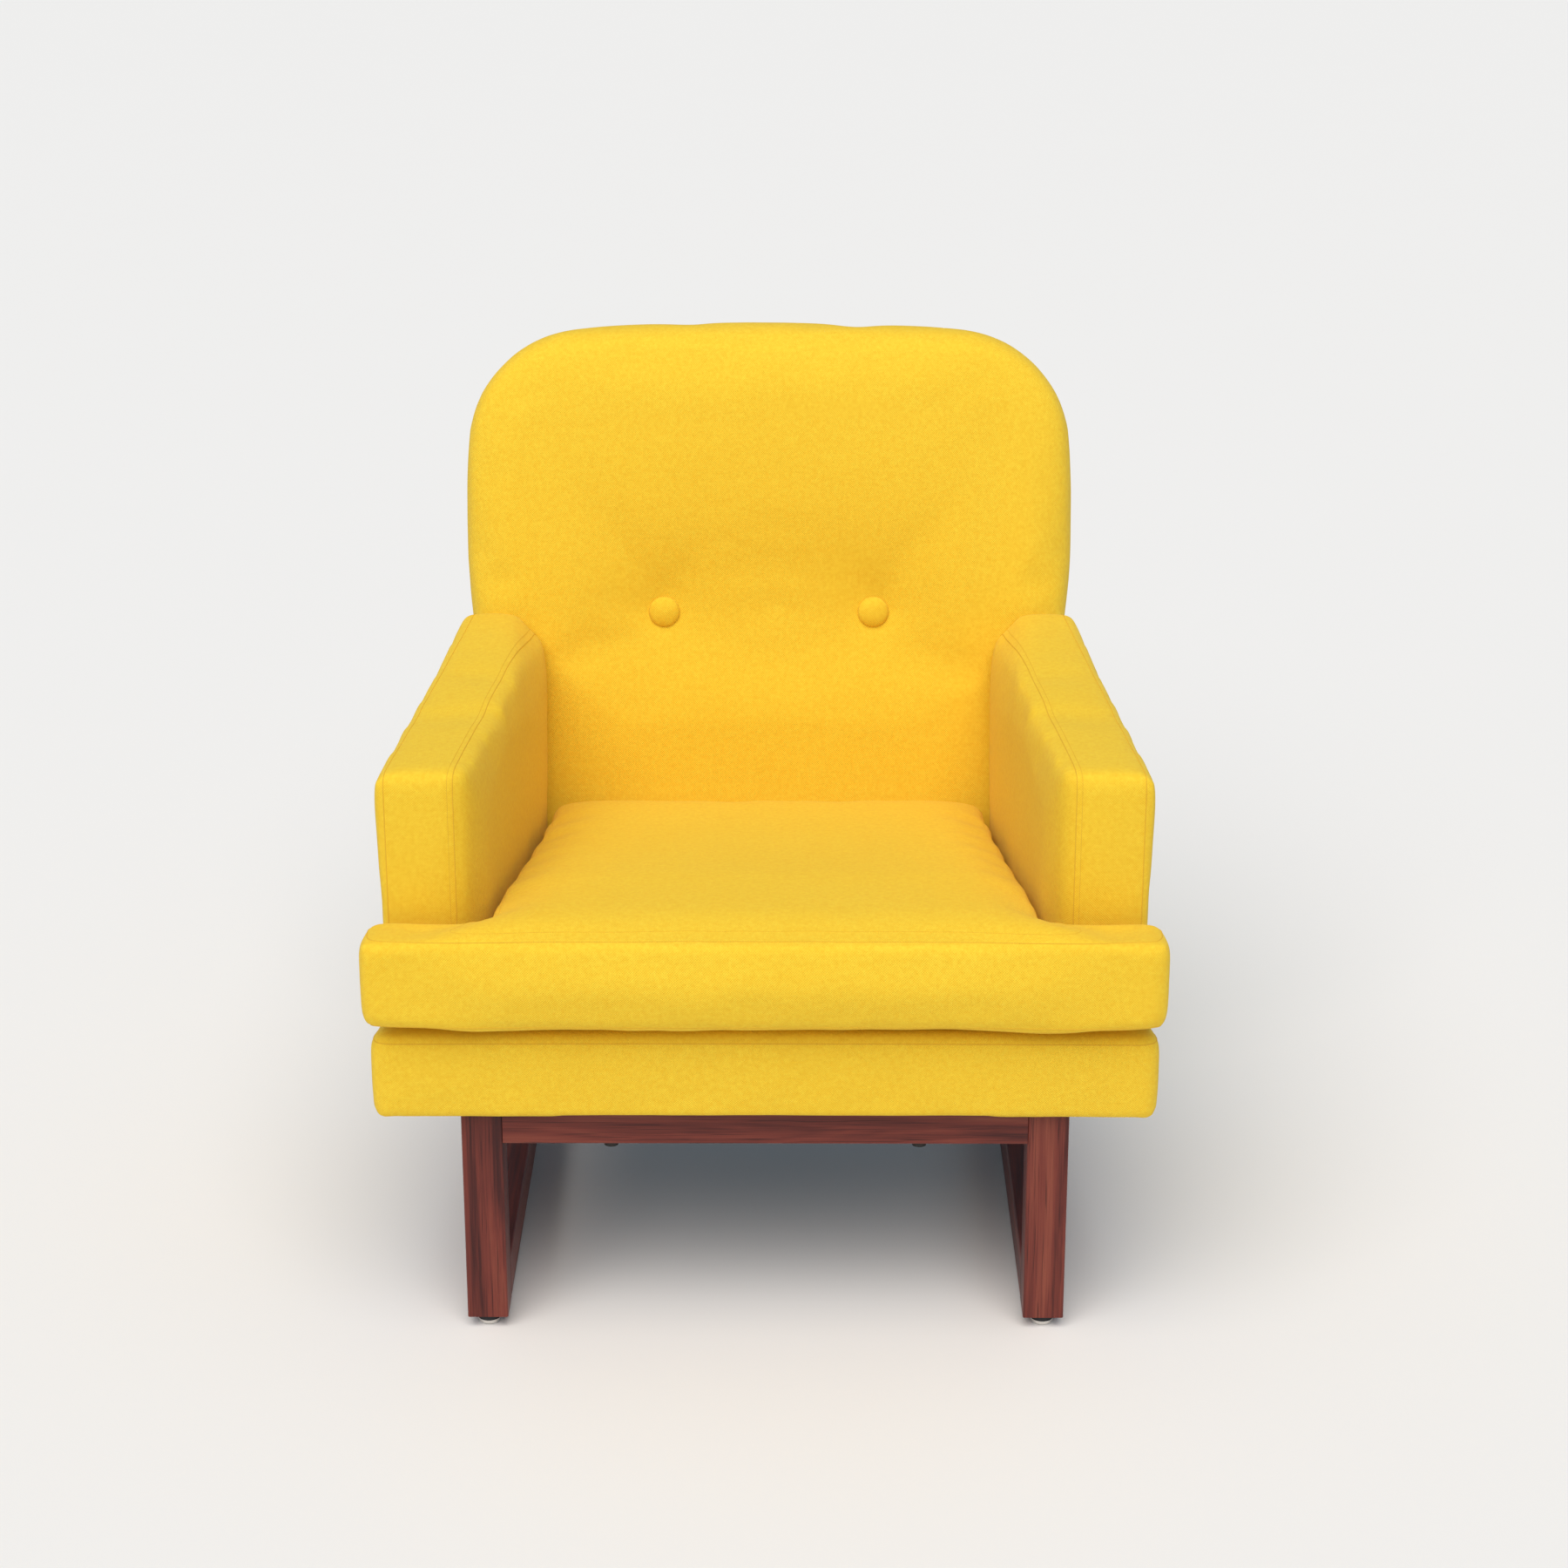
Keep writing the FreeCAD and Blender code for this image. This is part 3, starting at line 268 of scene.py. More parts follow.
def crisper(first, second, reach, power=5):
    """Square up a round edge; first and second are the depths below the two faces that meet there."""
    along_first = np.maximum(reach - first, 0)
    along_second = np.maximum(reach - second, 0)
    both = np.hypot(along_first, along_second)
    square = (along_first ** power + along_second ** power) ** (1 / power)
    inside = (along_first > 0) & (along_second > 0)
    grow = np.where(inside, both / np.maximum(square, 1e-9), 1)
    return (np.where(inside, reach - along_first * grow, first),
            np.where(inside, reach - along_second * grow, second))


def finish_soft(obj, smooth=3):
    """Smooth, subdivide once and shade a soft piece."""
    apply_modifier(obj, "SMOOTH", factor=0.5, iterations=smooth)
    apply_modifier(obj, "SUBSURF", levels=1, render_levels=1)
    bpy.ops.object.shade_smooth()


def mirrored(obj, name):
    """A copy on the other side of the chair, with its faces turned outwards again."""
    alone(obj)
    bpy.ops.object.duplicate()
    twin = bpy.context.active_object
    twin.name = name
    twin.data.name = name
    bpy.ops.object.mode_set(mode="EDIT")
    bpy.ops.mesh.select_all(action="SELECT")
    bpy.ops.transform.resize(value=(-1, 1, 1), center_override=(0, 0, 0))
    bpy.ops.mesh.normals_make_consistent(inside=False)
    end_edit()
    return twin


def seam_loop(name, obj, point, normal, radius, keep_place=None):
    """A sewn line where a plane meets a soft piece: a fine raised tube on its surface."""
    alone(obj)
    bpy.ops.object.duplicate()
    line = bpy.context.active_object
    line.name = name
    line.data.name = name
    line.data.materials.clear()
    bpy.ops.object.mode_set(mode="EDIT")
    bpy.ops.mesh.select_all(action="SELECT")
    bpy.ops.mesh.bisect(plane_co=point, plane_no=normal, clear_inner=True, clear_outer=True)
    if keep_place is not None:
        pick(line, "VERT", lambda vert: not keep_place(vert.co))
        bpy.ops.mesh.delete(type="VERT")
    end_edit()
    bpy.ops.object.convert(target="CURVE")
    line = bpy.context.active_object
    line.data.bevel_depth = radius
    line.data.bevel_resolution = 2
    bpy.ops.object.convert(target="MESH")
    line = bpy.context.active_object
    line.name = name
    bpy.ops.object.shade_smooth()
    return line


def dress(obj, material):
    """Give a piece its one material."""
    obj.data.materials.clear()
    obj.data.materials.append(material)


# ---------------------------------------------------------------- materials

def new_material(name):
    """An empty material with its shader and output."""
    material = bpy.data.materials.new(name)
    material.use_nodes = True
    tree = material.node_tree
    tree.nodes.clear()
    output = tree.nodes.new("ShaderNodeOutputMaterial")
    shader = tree.nodes.new("ShaderNodeBsdfPrincipled")
    tree.links.new(shader.outputs["BSDF"], output.inputs["Surface"])
    return material, tree, shader


def join(tree, source, target):
    tree.links.new(source, target)


def calc(tree, operation, first, second=None):
    """A Math node; each input is a number or an output."""
    node = tree.nodes.new("ShaderNodeMath")
    node.operation = operation
    for index, value in enumerate((first, second)):
        if value is None:
            continue
        if isinstance(value, (int, float)):
            node.inputs[index].default_value = value
        else:
            join(tree, value, node.inputs[index])
    return node.outputs[0]


def noise(tree, vector, scale, detail=2.0, roughness=0.5, distortion=0.0):
    node = tree.nodes.new("ShaderNodeTexNoise")
    node.inputs["Scale"].default_value = scale
    node.inputs["Detail"].default_value = detail
    node.inputs["Roughness"].default_value = roughness
    node.inputs["Distortion"].default_value = distortion
    join(tree, vector, node.inputs["Vector"])
    return node.outputs["Fac"]


def stretched(tree, vector, scale, rotation=(0, 0, 0), location=(0, 0, 0)):
    node = tree.nodes.new("ShaderNodeMapping")
    node.inputs["Scale"].default_value = scale
    node.inputs["Rotation"].default_value = rotation
    node.inputs["Location"].default_value = location
    join(tree, vector, node.inputs["Vector"])
    return node.outputs["Vector"]


def ramp(tree, factor, stops):
    """A colour ramp from (place, colour) stops."""
    node = tree.nodes.new("ShaderNodeValToRGB")
    elements = node.color_ramp.elements
    while len(elements) < len(stops):
        elements.new(0.5)
    for element, (place, colour) in zip(elements, stops):
        element.position = place
        element.color = (*colour, 1)
    join(tree, factor, node.inputs["Fac"])
    return node.outputs["Color"]


def spread(tree, value, low, high, to_low=0.0, to_high=1.0):
    """Map a range to another, held at its ends."""
    node = tree.nodes.new("ShaderNodeMapRange")
    node.inputs["From Min"].default_value = low
    node.inputs["From Max"].default_value = high
    node.inputs["To Min"].default_value = to_low
    node.inputs["To Max"].default_value = to_high
    join(tree, value, node.inputs["Value"])
    return node.outputs["Result"]


def tinted(tree, factor, first, second, blend="MIX"):
    """Mix two colours; each is a tuple or an output."""
    node = tree.nodes.new("ShaderNodeMix")
    node.data_type = "RGBA"
    node.blend_type = blend
    if isinstance(factor, (int, float)):
        node.inputs[0].default_value = factor
    else:
        join(tree, factor, node.inputs[0])
    for index, colour in ((6, first), (7, second)):
        if isinstance(colour, tuple):
            node.inputs[index].default_value = (*colour, 1)
        else:
            join(tree, colour, node.inputs[index])
    return node.outputs[2]


def bump(tree, shader, height, distance, strength):
    node = tree.nodes.new("ShaderNodeBump")
    node.inputs["Distance"].default_value = distance
    node.inputs["Strength"].default_value = strength
    join(tree, height, node.inputs["Height"])
    join(tree, node.outputs["Normal"], shader.inputs["Normal"])


def woven(tree, coordinates, pitch):
    """Height of a fine plain weave seen square on from the front, the side and above."""
    place = tree.nodes.new("ShaderNodeSeparateXYZ")
    facing = tree.nodes.new("ShaderNodeSeparateXYZ")
    join(tree, coordinates.outputs["Object"], place.inputs[0])
    join(tree, coordinates.outputs["Normal"], facing.inputs[0])
    turn = 2 * math.pi / pitch
    waves = [calc(tree, "SINE", calc(tree, "MULTIPLY", place.outputs[axis], turn)) for axis in range(3)]
    total = None
    weight_sum = None
    for across, (first, second) in enumerate(((1, 2), (0, 2), (0, 1))):
        weight = calc(tree, "POWER", calc(tree, "ABSOLUTE", facing.outputs[across]), 4)
        share = calc(tree, "MULTIPLY", calc(tree, "MULTIPLY", waves[first], waves[second]), weight)
        total = share if total is None else calc(tree, "ADD", total, share)
        weight_sum = weight if weight_sum is None else calc(tree, "ADD", weight_sum, weight)
    return calc(tree, "DIVIDE", total, weight_sum)


def wool_material(name, colour, pitch, heather):
    """Fine woven wool: yarns, a heathered colour, painted shade in the valleys of the weave, a painted
    highlight on its tops and a short nap.
    """
    material, tree, shader = new_material(name)
    coordinates = tree.nodes.new("ShaderNodeTexCoord")
    here = coordinates.outputs["Object"]
    weave = woven(tree, coordinates, pitch)
    yarn = noise(tree, here, 0.55 / pitch, 3.0, 0.65)
    broad = noise(tree, here, 7.0, 3.0, 0.55)
    # painted shade and highlight: the weave's valleys get a darker tint and its tops a paler one
    lit = spread(tree, weave, -1.0, 1.0, 0.35, 1.0)
    speck = spread(tree, yarn, 0.3, 0.7, 0.0, 1.0)
    specked = calc(tree, "MULTIPLY", speck, heather)
    shade = calc(tree, "ADD", calc(tree, "MULTIPLY", lit, 1 - heather), specked)
    # deep is painted shade in the weave's valleys and the tone of dark yarns and patches; pale is a painted
    # highlight on the weave's tops and the tone of light yarns
    deep = tuple(channel * factor for channel, factor in zip(colour, (0.90, 0.74, 0.45)))
    pale = tuple(min(1.0, channel * factor) for channel, factor in zip(colour, (1.04, 1.10, 1.5)))
    yarn_tone_and_weave_shade = tinted(tree, shade, deep, pale)
    patch = spread(tree, broad, 0.35, 0.65, 0.0, 0.10)
    join(tree, tinted(tree, patch, yarn_tone_and_weave_shade, deep), shader.inputs["Base Color"])
    rough = spread(tree, yarn, 0.2, 0.8, 0.82, 0.98)
    join(tree, rough, shader.inputs["Roughness"])
    shader.inputs["Specular IOR Level"].default_value = 0.15
    shader.inputs["Sheen Weight"].default_value = 0.12
    shader.inputs["Sheen Roughness"].default_value = 0.45
    shader.inputs["Sheen Tint"].default_value = (1.0, 0.95, 0.55, 1)
    height = calc(tree, "ADD", weave, calc(tree, "MULTIPLY", yarn, 1.2))
    bump(tree, shader, height, 0.35 * MM, 0.6)
    return material


def walnut_material(name, axis, tones, roughness):
    """Oiled walnut with its grain along one axis."""
    material, tree, shader = new_material(name)
    here = tree.nodes.new("ShaderNodeTexCoord").outputs["Object"]
    along = [1.0, 1.0, 1.0]
    along[axis] = 0.07
    drawn = stretched(tree, here, tuple(along), rotation=(0.02, 0.03, 0.02), location=(0.31, 0.17, 0.23))
    fine = [1.0, 1.0, 1.0]
    fine[axis] = 0.018
    streaked = stretched(tree, here, tuple(fine))
    figure = noise(tree, drawn, 26, 4.0, 0.55, 1.6)
    rings = calc(tree, "FRACT", calc(tree, "MULTIPLY", noise(tree, drawn, 9, 2.0, 0.5, 0.8), 7.0))
    rings = calc(tree, "ABSOLUTE", calc(tree, "SUBTRACT", rings, 0.5))
    fibre = noise(tree, streaked, 420, 3.0, 0.7)
    pores = spread(tree, noise(tree, streaked, 900, 1.0, 0.5), 0.62, 0.72)
    tone = calc(tree, "ADD", calc(tree, "MULTIPLY", figure, 0.75), calc(tree, "MULTIPLY", rings, 0.35))
    tone = calc(tree, "ADD", tone, calc(tree, "MULTIPLY", calc(tree, "SUBTRACT", fibre, 0.5), 0.45))
    dark, mid, light = tones
    colour = ramp(tree, tone, ((0.26, dark), (0.48, mid), (0.78, light)))
    deep = tuple(channel * 0.35 for channel in dark)
    join(tree, tinted(tree, calc(tree, "MULTIPLY", pores, 0.6), colour, deep), shader.inputs["Base Color"])
    join(tree, spread(tree, fibre, 0.2, 0.8, roughness - 0.08, roughness + 0.1), shader.inputs["Roughness"])
    shader.inputs["Specular IOR Level"].default_value = 0.3
    shader.inputs["Coat Weight"].default_value = 0.04
    shader.inputs["Coat Roughness"].default_value = 0.35
    grain = calc(tree, "SUBTRACT", calc(tree, "MULTIPLY", fibre, 0.5), pores)
    bump(tree, shader, grain, 0.15 * MM, 0.35)
    return material


def metal_material(name, colour, roughness):
    """Plated or bright metal with fine marks."""
    material, tree, shader = new_material(name)
    here = tree.nodes.new("ShaderNodeTexCoord").outputs["Object"]
    marks = noise(tree, here, 900, 3.0, 0.6)
    dull = tuple(channel * 0.82 for channel in colour)
    join(tree, tinted(tree, marks, colour, dull), shader.inputs["Base Color"])
    join(tree, spread(tree, marks, 0.3, 0.7, roughness * 0.8, roughness * 1.3), shader.inputs["Roughness"])
    shader.inputs["Metallic"].default_value = 1.0
    bump(tree, shader, marks, 0.05 * MM, 0.2)
    return material


def matte_material(name, colour, grain, roughness, relief):
    """A plain matte stuff with a grain of its own: rubber, foam, jute, timber or tape."""
    material, tree, shader = new_material(name)
    here = tree.nodes.new("ShaderNodeTexCoord").outputs["Object"]
    spots = noise(tree, here, grain, 3.0, 0.6)
    dark = tuple(channel * 0.72 for channel in colour)
    join(tree, tinted(tree, spots, dark, colour), shader.inputs["Base Color"])
    join(tree, spread(tree, spots, 0.3, 0.7, roughness - 0.06, roughness + 0.06), shader.inputs["Roughness"])
    bump(tree, shader, spots, relief, 0.5)
    return material


def coarse_cloth_material(name, colour, pitch, roughness):
    """A plain open weave: jute, dust cloth, zip tape and webbing, with painted shade in the valleys of the
    weave.
    """
    material, tree, shader = new_material(name)
    coordinates = tree.nodes.new("ShaderNodeTexCoord")
    weave = woven(tree, coordinates, pitch)
    dark = tuple(channel * 0.6 for channel in colour)
    # painted shade: the weave's valleys get a darker tint
    join(tree, tinted(tree, spread(tree, weave, -1, 1), dark, colour), shader.inputs["Base Color"])
    join(tree, spread(tree, weave, -1, 1, roughness, roughness - 0.1), shader.inputs["Roughness"])
    bump(tree, shader, weave, pitch / 6, 0.6)
    return material


# ---------------------------------------------------------------- settings

class ClothSettings(bpy.types.PropertyGroup):
    colour: bpy.props.FloatVectorProperty(
        name="Cloth colour", description="Colour of the wool cover", subtype="COLOR", size=3,
        min=0, max=1, default=(0.90, 0.60, 0.034))
    pitch: bpy.props.FloatProperty(
        name="Weave pitch", description="Distance over which the weave repeats", unit="LENGTH",
        default=2.4 * MM)
    heather: bpy.props.FloatProperty(
        name="Heather", description="How uneven the yarns are in colour", subtype="FACTOR", min=0, max=1,
        default=0.45)
    seam_radius: bpy.props.FloatProperty(
        name="Seam size", description="Half the thickness of a sewn line", unit="LENGTH",
        default=0.5 * MM)


class SoftSettings(bpy.types.PropertyGroup):
    voxel: bpy.props.FloatProperty(
        name="Skin detail", description="Spacing of the even skin of a soft piece", unit="LENGTH",
        default=6.5 * MM)
    cushion_pressure: bpy.props.FloatProperty(
        name="Cushion pressure", description="How hard the filling presses on the seat cushion's cover",
        default=4.0)
    cushion_slack: bpy.props.FloatProperty(
        name="Cushion slack", description="How much smaller the seat cushion starts", unit="LENGTH",
        default=6 * MM)
    back_pressure: bpy.props.FloatProperty(
        name="Back pressure", description="How hard the filling presses on the cover of the back",
        default=3.0)
    arm_pressure: bpy.props.FloatProperty(
        name="Arm pressure", description="How hard the filling presses on the covers of the arms",
        default=2.0)
    tuft_depth: bpy.props.FloatProperty(
        name="Tuft depth", description="How deep the buttons pull in the back", unit="LENGTH",
        default=13 * MM)


class WoodSettings(bpy.types.PropertyGroup):
    dark: bpy.props.FloatVectorProperty(
        name="Dark grain", description="Darkest tone of the walnut", subtype="COLOR", size=3, min=0, max=1,
        default=(0.050, 0.008, 0.007))
    mid: bpy.props.FloatVectorProperty(
        name="Middle grain", description="Middle tone of the walnut", subtype="COLOR", size=3, min=0, max=1,
        default=(0.165, 0.030, 0.020))
    light: bpy.props.FloatVectorProperty(
        name="Light grain", description="Lightest tone of the walnut", subtype="COLOR", size=3, min=0, max=1,
        default=(0.30, 0.080, 0.045))
    roughness: bpy.props.FloatProperty(
        name="Oil finish", description="Roughness of the oiled surface", subtype="FACTOR", min=0, max=1,
        default=0.45)


class StageSettings(bpy.types.PropertyGroup):
    camera_place: bpy.props.FloatVectorProperty(
        name="Camera place", description="Where the camera stands", subtype="TRANSLATION", size=3,
        unit="LENGTH", default=(0.028, -3.2346, 1.624))
    camera_pitch: bpy.props.FloatProperty(
        name="Camera pitch", description="How far the camera looks down", subtype="ANGLE",
        default=math.radians(19.86))
    camera_turn: bpy.props.FloatProperty(
        name="Camera turn", description="How far the camera turns to the left", subtype="ANGLE",
        default=math.radians(0.19))
    lens: bpy.props.FloatProperty(
        name="Lens", description="Focal length in millimetres", default=76.0)
    sky: bpy.props.FloatVectorProperty(
        name="Room light", description="Colour of the light from all round", subtype="COLOR", size=3,
        min=0, max=1, default=(0.66, 0.85, 1.0))
    sky_strength: bpy.props.FloatProperty(
        name="Room strength", description="Strength of the light from all round", default=0.40)
    key_strength: bpy.props.FloatProperty(
        name="Key strength", description="Strength of the soft light from the front", default=2.9)
    floor: bpy.props.FloatVectorProperty(
        name="Floor colour", description="Colour of the floor", subtype="COLOR", size=3, min=0, max=1,
        default=(0.86, 0.83, 0.81))


# ---------------------------------------------------------------- pieces

def wool():
    """The one cover material that all yellow pieces share."""
    material = bpy.data.materials.get("yellow_wool_cloth")
    if material is None:
        cloth = bpy.context.scene.armchair_cloth
        material = wool_material("yellow_wool_cloth", tuple(cloth.colour), cloth.pitch, cloth.heather)
    return material


def thread():
    """The thread and folded edge of a seam, painted a tone deeper than the cloth as painted shade in the
    seam's crease.
    """
    material = bpy.data.materials.get("yellow_seam_thread_with_shade")
    if material is None:
        # painted shade: the seam is tinted deeper and more orange than the cloth, for the shade in its crease
        colour = tuple(channel * factor for channel, factor in
                       zip(bpy.context.scene.armchair_cloth.colour, (0.97, 0.84, 0.75)))
        material = matte_material("yellow_seam_thread_with_shade", colour, 1500, 0.9, 0.1 * MM)
    return material


def settle(piece, body, slot, material, *nodes):
    """Say what a finished piece rides on, is made of and stands for."""
    dress(piece, material)
    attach(piece, body)
    if nodes:
        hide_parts(*nodes)


def finish_nodes(names, material):
    """Give CAD nodes a material in place of their own."""
    for name in names:
        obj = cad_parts[name]
        obj = bpy.data.objects[obj] if isinstance(obj, str) else obj
        if not obj.material_slots:
            obj.data.materials.append(material)
        for index in range(len(obj.material_slots)):
            obj.material_slots[index].link = "OBJECT"
            obj.material_slots[index].material = material


class ARMCHAIR_OT_walnut_base(bpy.types.Operator):
    """Finish the open base in oiled walnut, with the grain along each member"""

    bl_idname = "armchair.walnut_base"
    bl_label = "Walnut base"

    def execute(self, context):
        wood = context.scene.armchair_wood
        tones = (tuple(wood.dark), tuple(wood.mid), tuple(wood.light))
        upright = walnut_material("walnut_upright", 2, tones, wood.roughness)
        lengthwise = walnut_material("walnut_lengthwise", 1, tones, wood.roughness)
        crosswise = walnut_material("walnut_crosswise", 0, tones, wood.roughness)
        finish_nodes([f"{end}_post_{side}" for end in ("front", "rear") for side, _ in SIDES], upright)
        finish_nodes([f"{rail}_{side}" for rail in ("runner", "side_rail") for side, _ in SIDES], lengthwise)
        finish_nodes(["front_stretcher", "rear_stretcher"], crosswise)
        return {"FINISHED"}


class ARMCHAIR_OT_glides(bpy.types.Operator):
    """Finish the nail-on glides in nickel and rubber"""

    bl_idname = "armchair.glides"
    bl_label = "Glides"

    def execute(self, context):
        nickel = metal_material("nickelled_steel", (0.78, 0.76, 0.72), 0.22)
        rubber = matte_material("glide_rubber", (0.03, 0.03, 0.032), 700, 0.72, 0.1 * MM)
        ends = [f"{end}_{side}" for end in ("front", "rear") for side, _ in SIDES]
        finish_nodes([f"glide_cap_{end}" for end in ends], nickel)
        finish_nodes([f"glide_cushion_{end}" for end in ends], rubber)
        return {"FINISHED"}


class ARMCHAIR_OT_inner_frame(bpy.types.Operator):
    """Finish the timber, springs and fixings inside the upholstery"""

    bl_idname = "armchair.inner_frame"
    bl_label = "Inner frame"

    def execute(self, context):
        hardwood = matte_material("frame_hardwood", (0.52, 0.36, 0.20), 60, 0.65, 0.2 * MM)
        beech = matte_material("dowel_beech", (0.62, 0.45, 0.27), 120, 0.6, 0.1 * MM)
        zinc = metal_material("zinc_fasteners", (0.66, 0.67, 0.68), 0.35)
        spring = metal_material("spring_steel", (0.42, 0.42, 0.43), 0.4)
        jute = coarse_cloth_material("jute_cloth", (0.45, 0.33, 0.18), 4 * MM, 0.9)
        wood = ["seat_front_rail", "seat_rear_rail", "back_top_rail", "back_button_rail", "back_low_rail"]
        for side, _ in SIDES:
            wood += [f"seat_side_rail_{side}", f"corner_block_{side}", f"back_upright_{side}"]
            wood += [f"arm_front_post_{side}", f"arm_rear_post_{side}", f"arm_top_rail_{side}"]
        finish_nodes(wood, hardwood)
        finish_nodes(["base_dowels"], beech)
        finish_nodes(["arm_bolts", "back_bolts"], zinc)
        finish_nodes(["base_screws"], metal_material("blackened_screws", (0.05, 0.048, 0.045), 0.45))
        finish_nodes(["spring_clips", *[f"seat_spring_{index}" for index in range(1, 6)]], spring)
        finish_nodes(["deck_burlap", "back_straps", "button_ties"], jute)
        return {"FINISHED"}


class ARMCHAIR_OT_deck(bpy.types.Operator):
    """Make the boxed, padded deck that carries the loose cushion"""

    bl_idname = "armchair.deck"
    bl_label = "Deck"

    def execute(self, context):
        soft = context.scene.armchair_soft
        slack = 4 * MM
        rear = BACK_FOOT
        top = deck_z(DECK_FRONT) - 1 * MM
        deck = add_block("deck", (-DECK_HALF + slack, DECK_FRONT + slack, DECK_LOW[2] + 1 * MM),
                         (DECK_HALF - slack, rear, top))
        start_edit(deck)
        length = rear - DECK_FRONT
        for side in (LEFT, RIGHT):
            shift(deck, lambda co: co.y > 0 and co.x * side > 0, (-side * length * TOE, 0, 0))
        shift(deck, lambda co: co.y > 0 and co.z > BASE_TOP + 20 * MM, (0, 8 * MM, -length * SEAT_SLOPE))
        ease(deck, lambda edge: middle(edge).y < 0 and abs(edge.verts[0].co.z - edge.verts[1].co.z) > 50 * MM,
             18 * MM, 4)
        ease(deck, lambda edge: rim(edge) and middle(edge).y < BACK_FOOT - 5 * MM, 14 * MM, 4)
        end_edit()
        close_mesh(deck, soft.voxel)
        fill_with_air(deck, 2.0, 8 * MM, relax=6)
        x, y, z = places_of(deck).T
        y = stretched_to(y, DECK_FRONT - 1 * MM, y.max())
        across = x / side_x(0, y)
        outward = stretched_to(across, -1.008, 1.008) * side_x(0, y)
        y_kept = np.minimum(y, back_y(z) - 1 * MM)
        low = DECK_LOW[2] - 4 * MM
        belly = BASE_TOP + 45 * MM
        z = np.where(z < belly, belly - (belly - z) * (belly - low) / (belly - z.min()), z)
        z_kept = np.minimum(z, deck_z(y) - 0.3 * MM)
        half = side_x(0, y) * 1.008
        from_side, from_low = crisper(half - np.abs(outward), z_kept - low, 24 * MM)
        outward = np.sign(outward) * (half - from_side)
        from_front, from_low = crisper(y_kept - y.min(), from_low, 24 * MM)
        y_kept = y.min() + from_front
        z_kept = low + from_low
        inside = (np.abs(outward) < side_x(15 * MM, y)) & (y_kept > DECK_FRONT + 12 * MM)
        z_kept = np.where(inside, np.maximum(z_kept, BASE_TOP + 1.6 * MM), z_kept)
        put_places(deck, np.stack((outward, y_kept, z_kept), axis=1))
        finish_soft(deck, 1)
        settle(deck, CHAIR, "yellow_wool", wool(), "deck_cover", "deck_pad")
        seam = seam_loop("deck_seam", deck, (0, DECK_FRONT, deck_z(DECK_FRONT) - 12 * MM),
                         (0, math.sin(math.atan(SEAT_SLOPE)), math.cos(math.atan(SEAT_SLOPE))),
                         context.scene.armchair_cloth.seam_radius,
                         lambda co: co.y < back_y(co.z) - 8 * MM)
        settle(seam, CHAIR, "yellow_wool", thread())
        return {"FINISHED"}


def rim(edge):
    """Whether an edge joins a level face to an upright one."""
    if len(edge.link_faces) != 2:
        return False
    first, second = (abs(face.normal.z) for face in edge.link_faces)
    return (first > 0.8) != (second > 0.8)


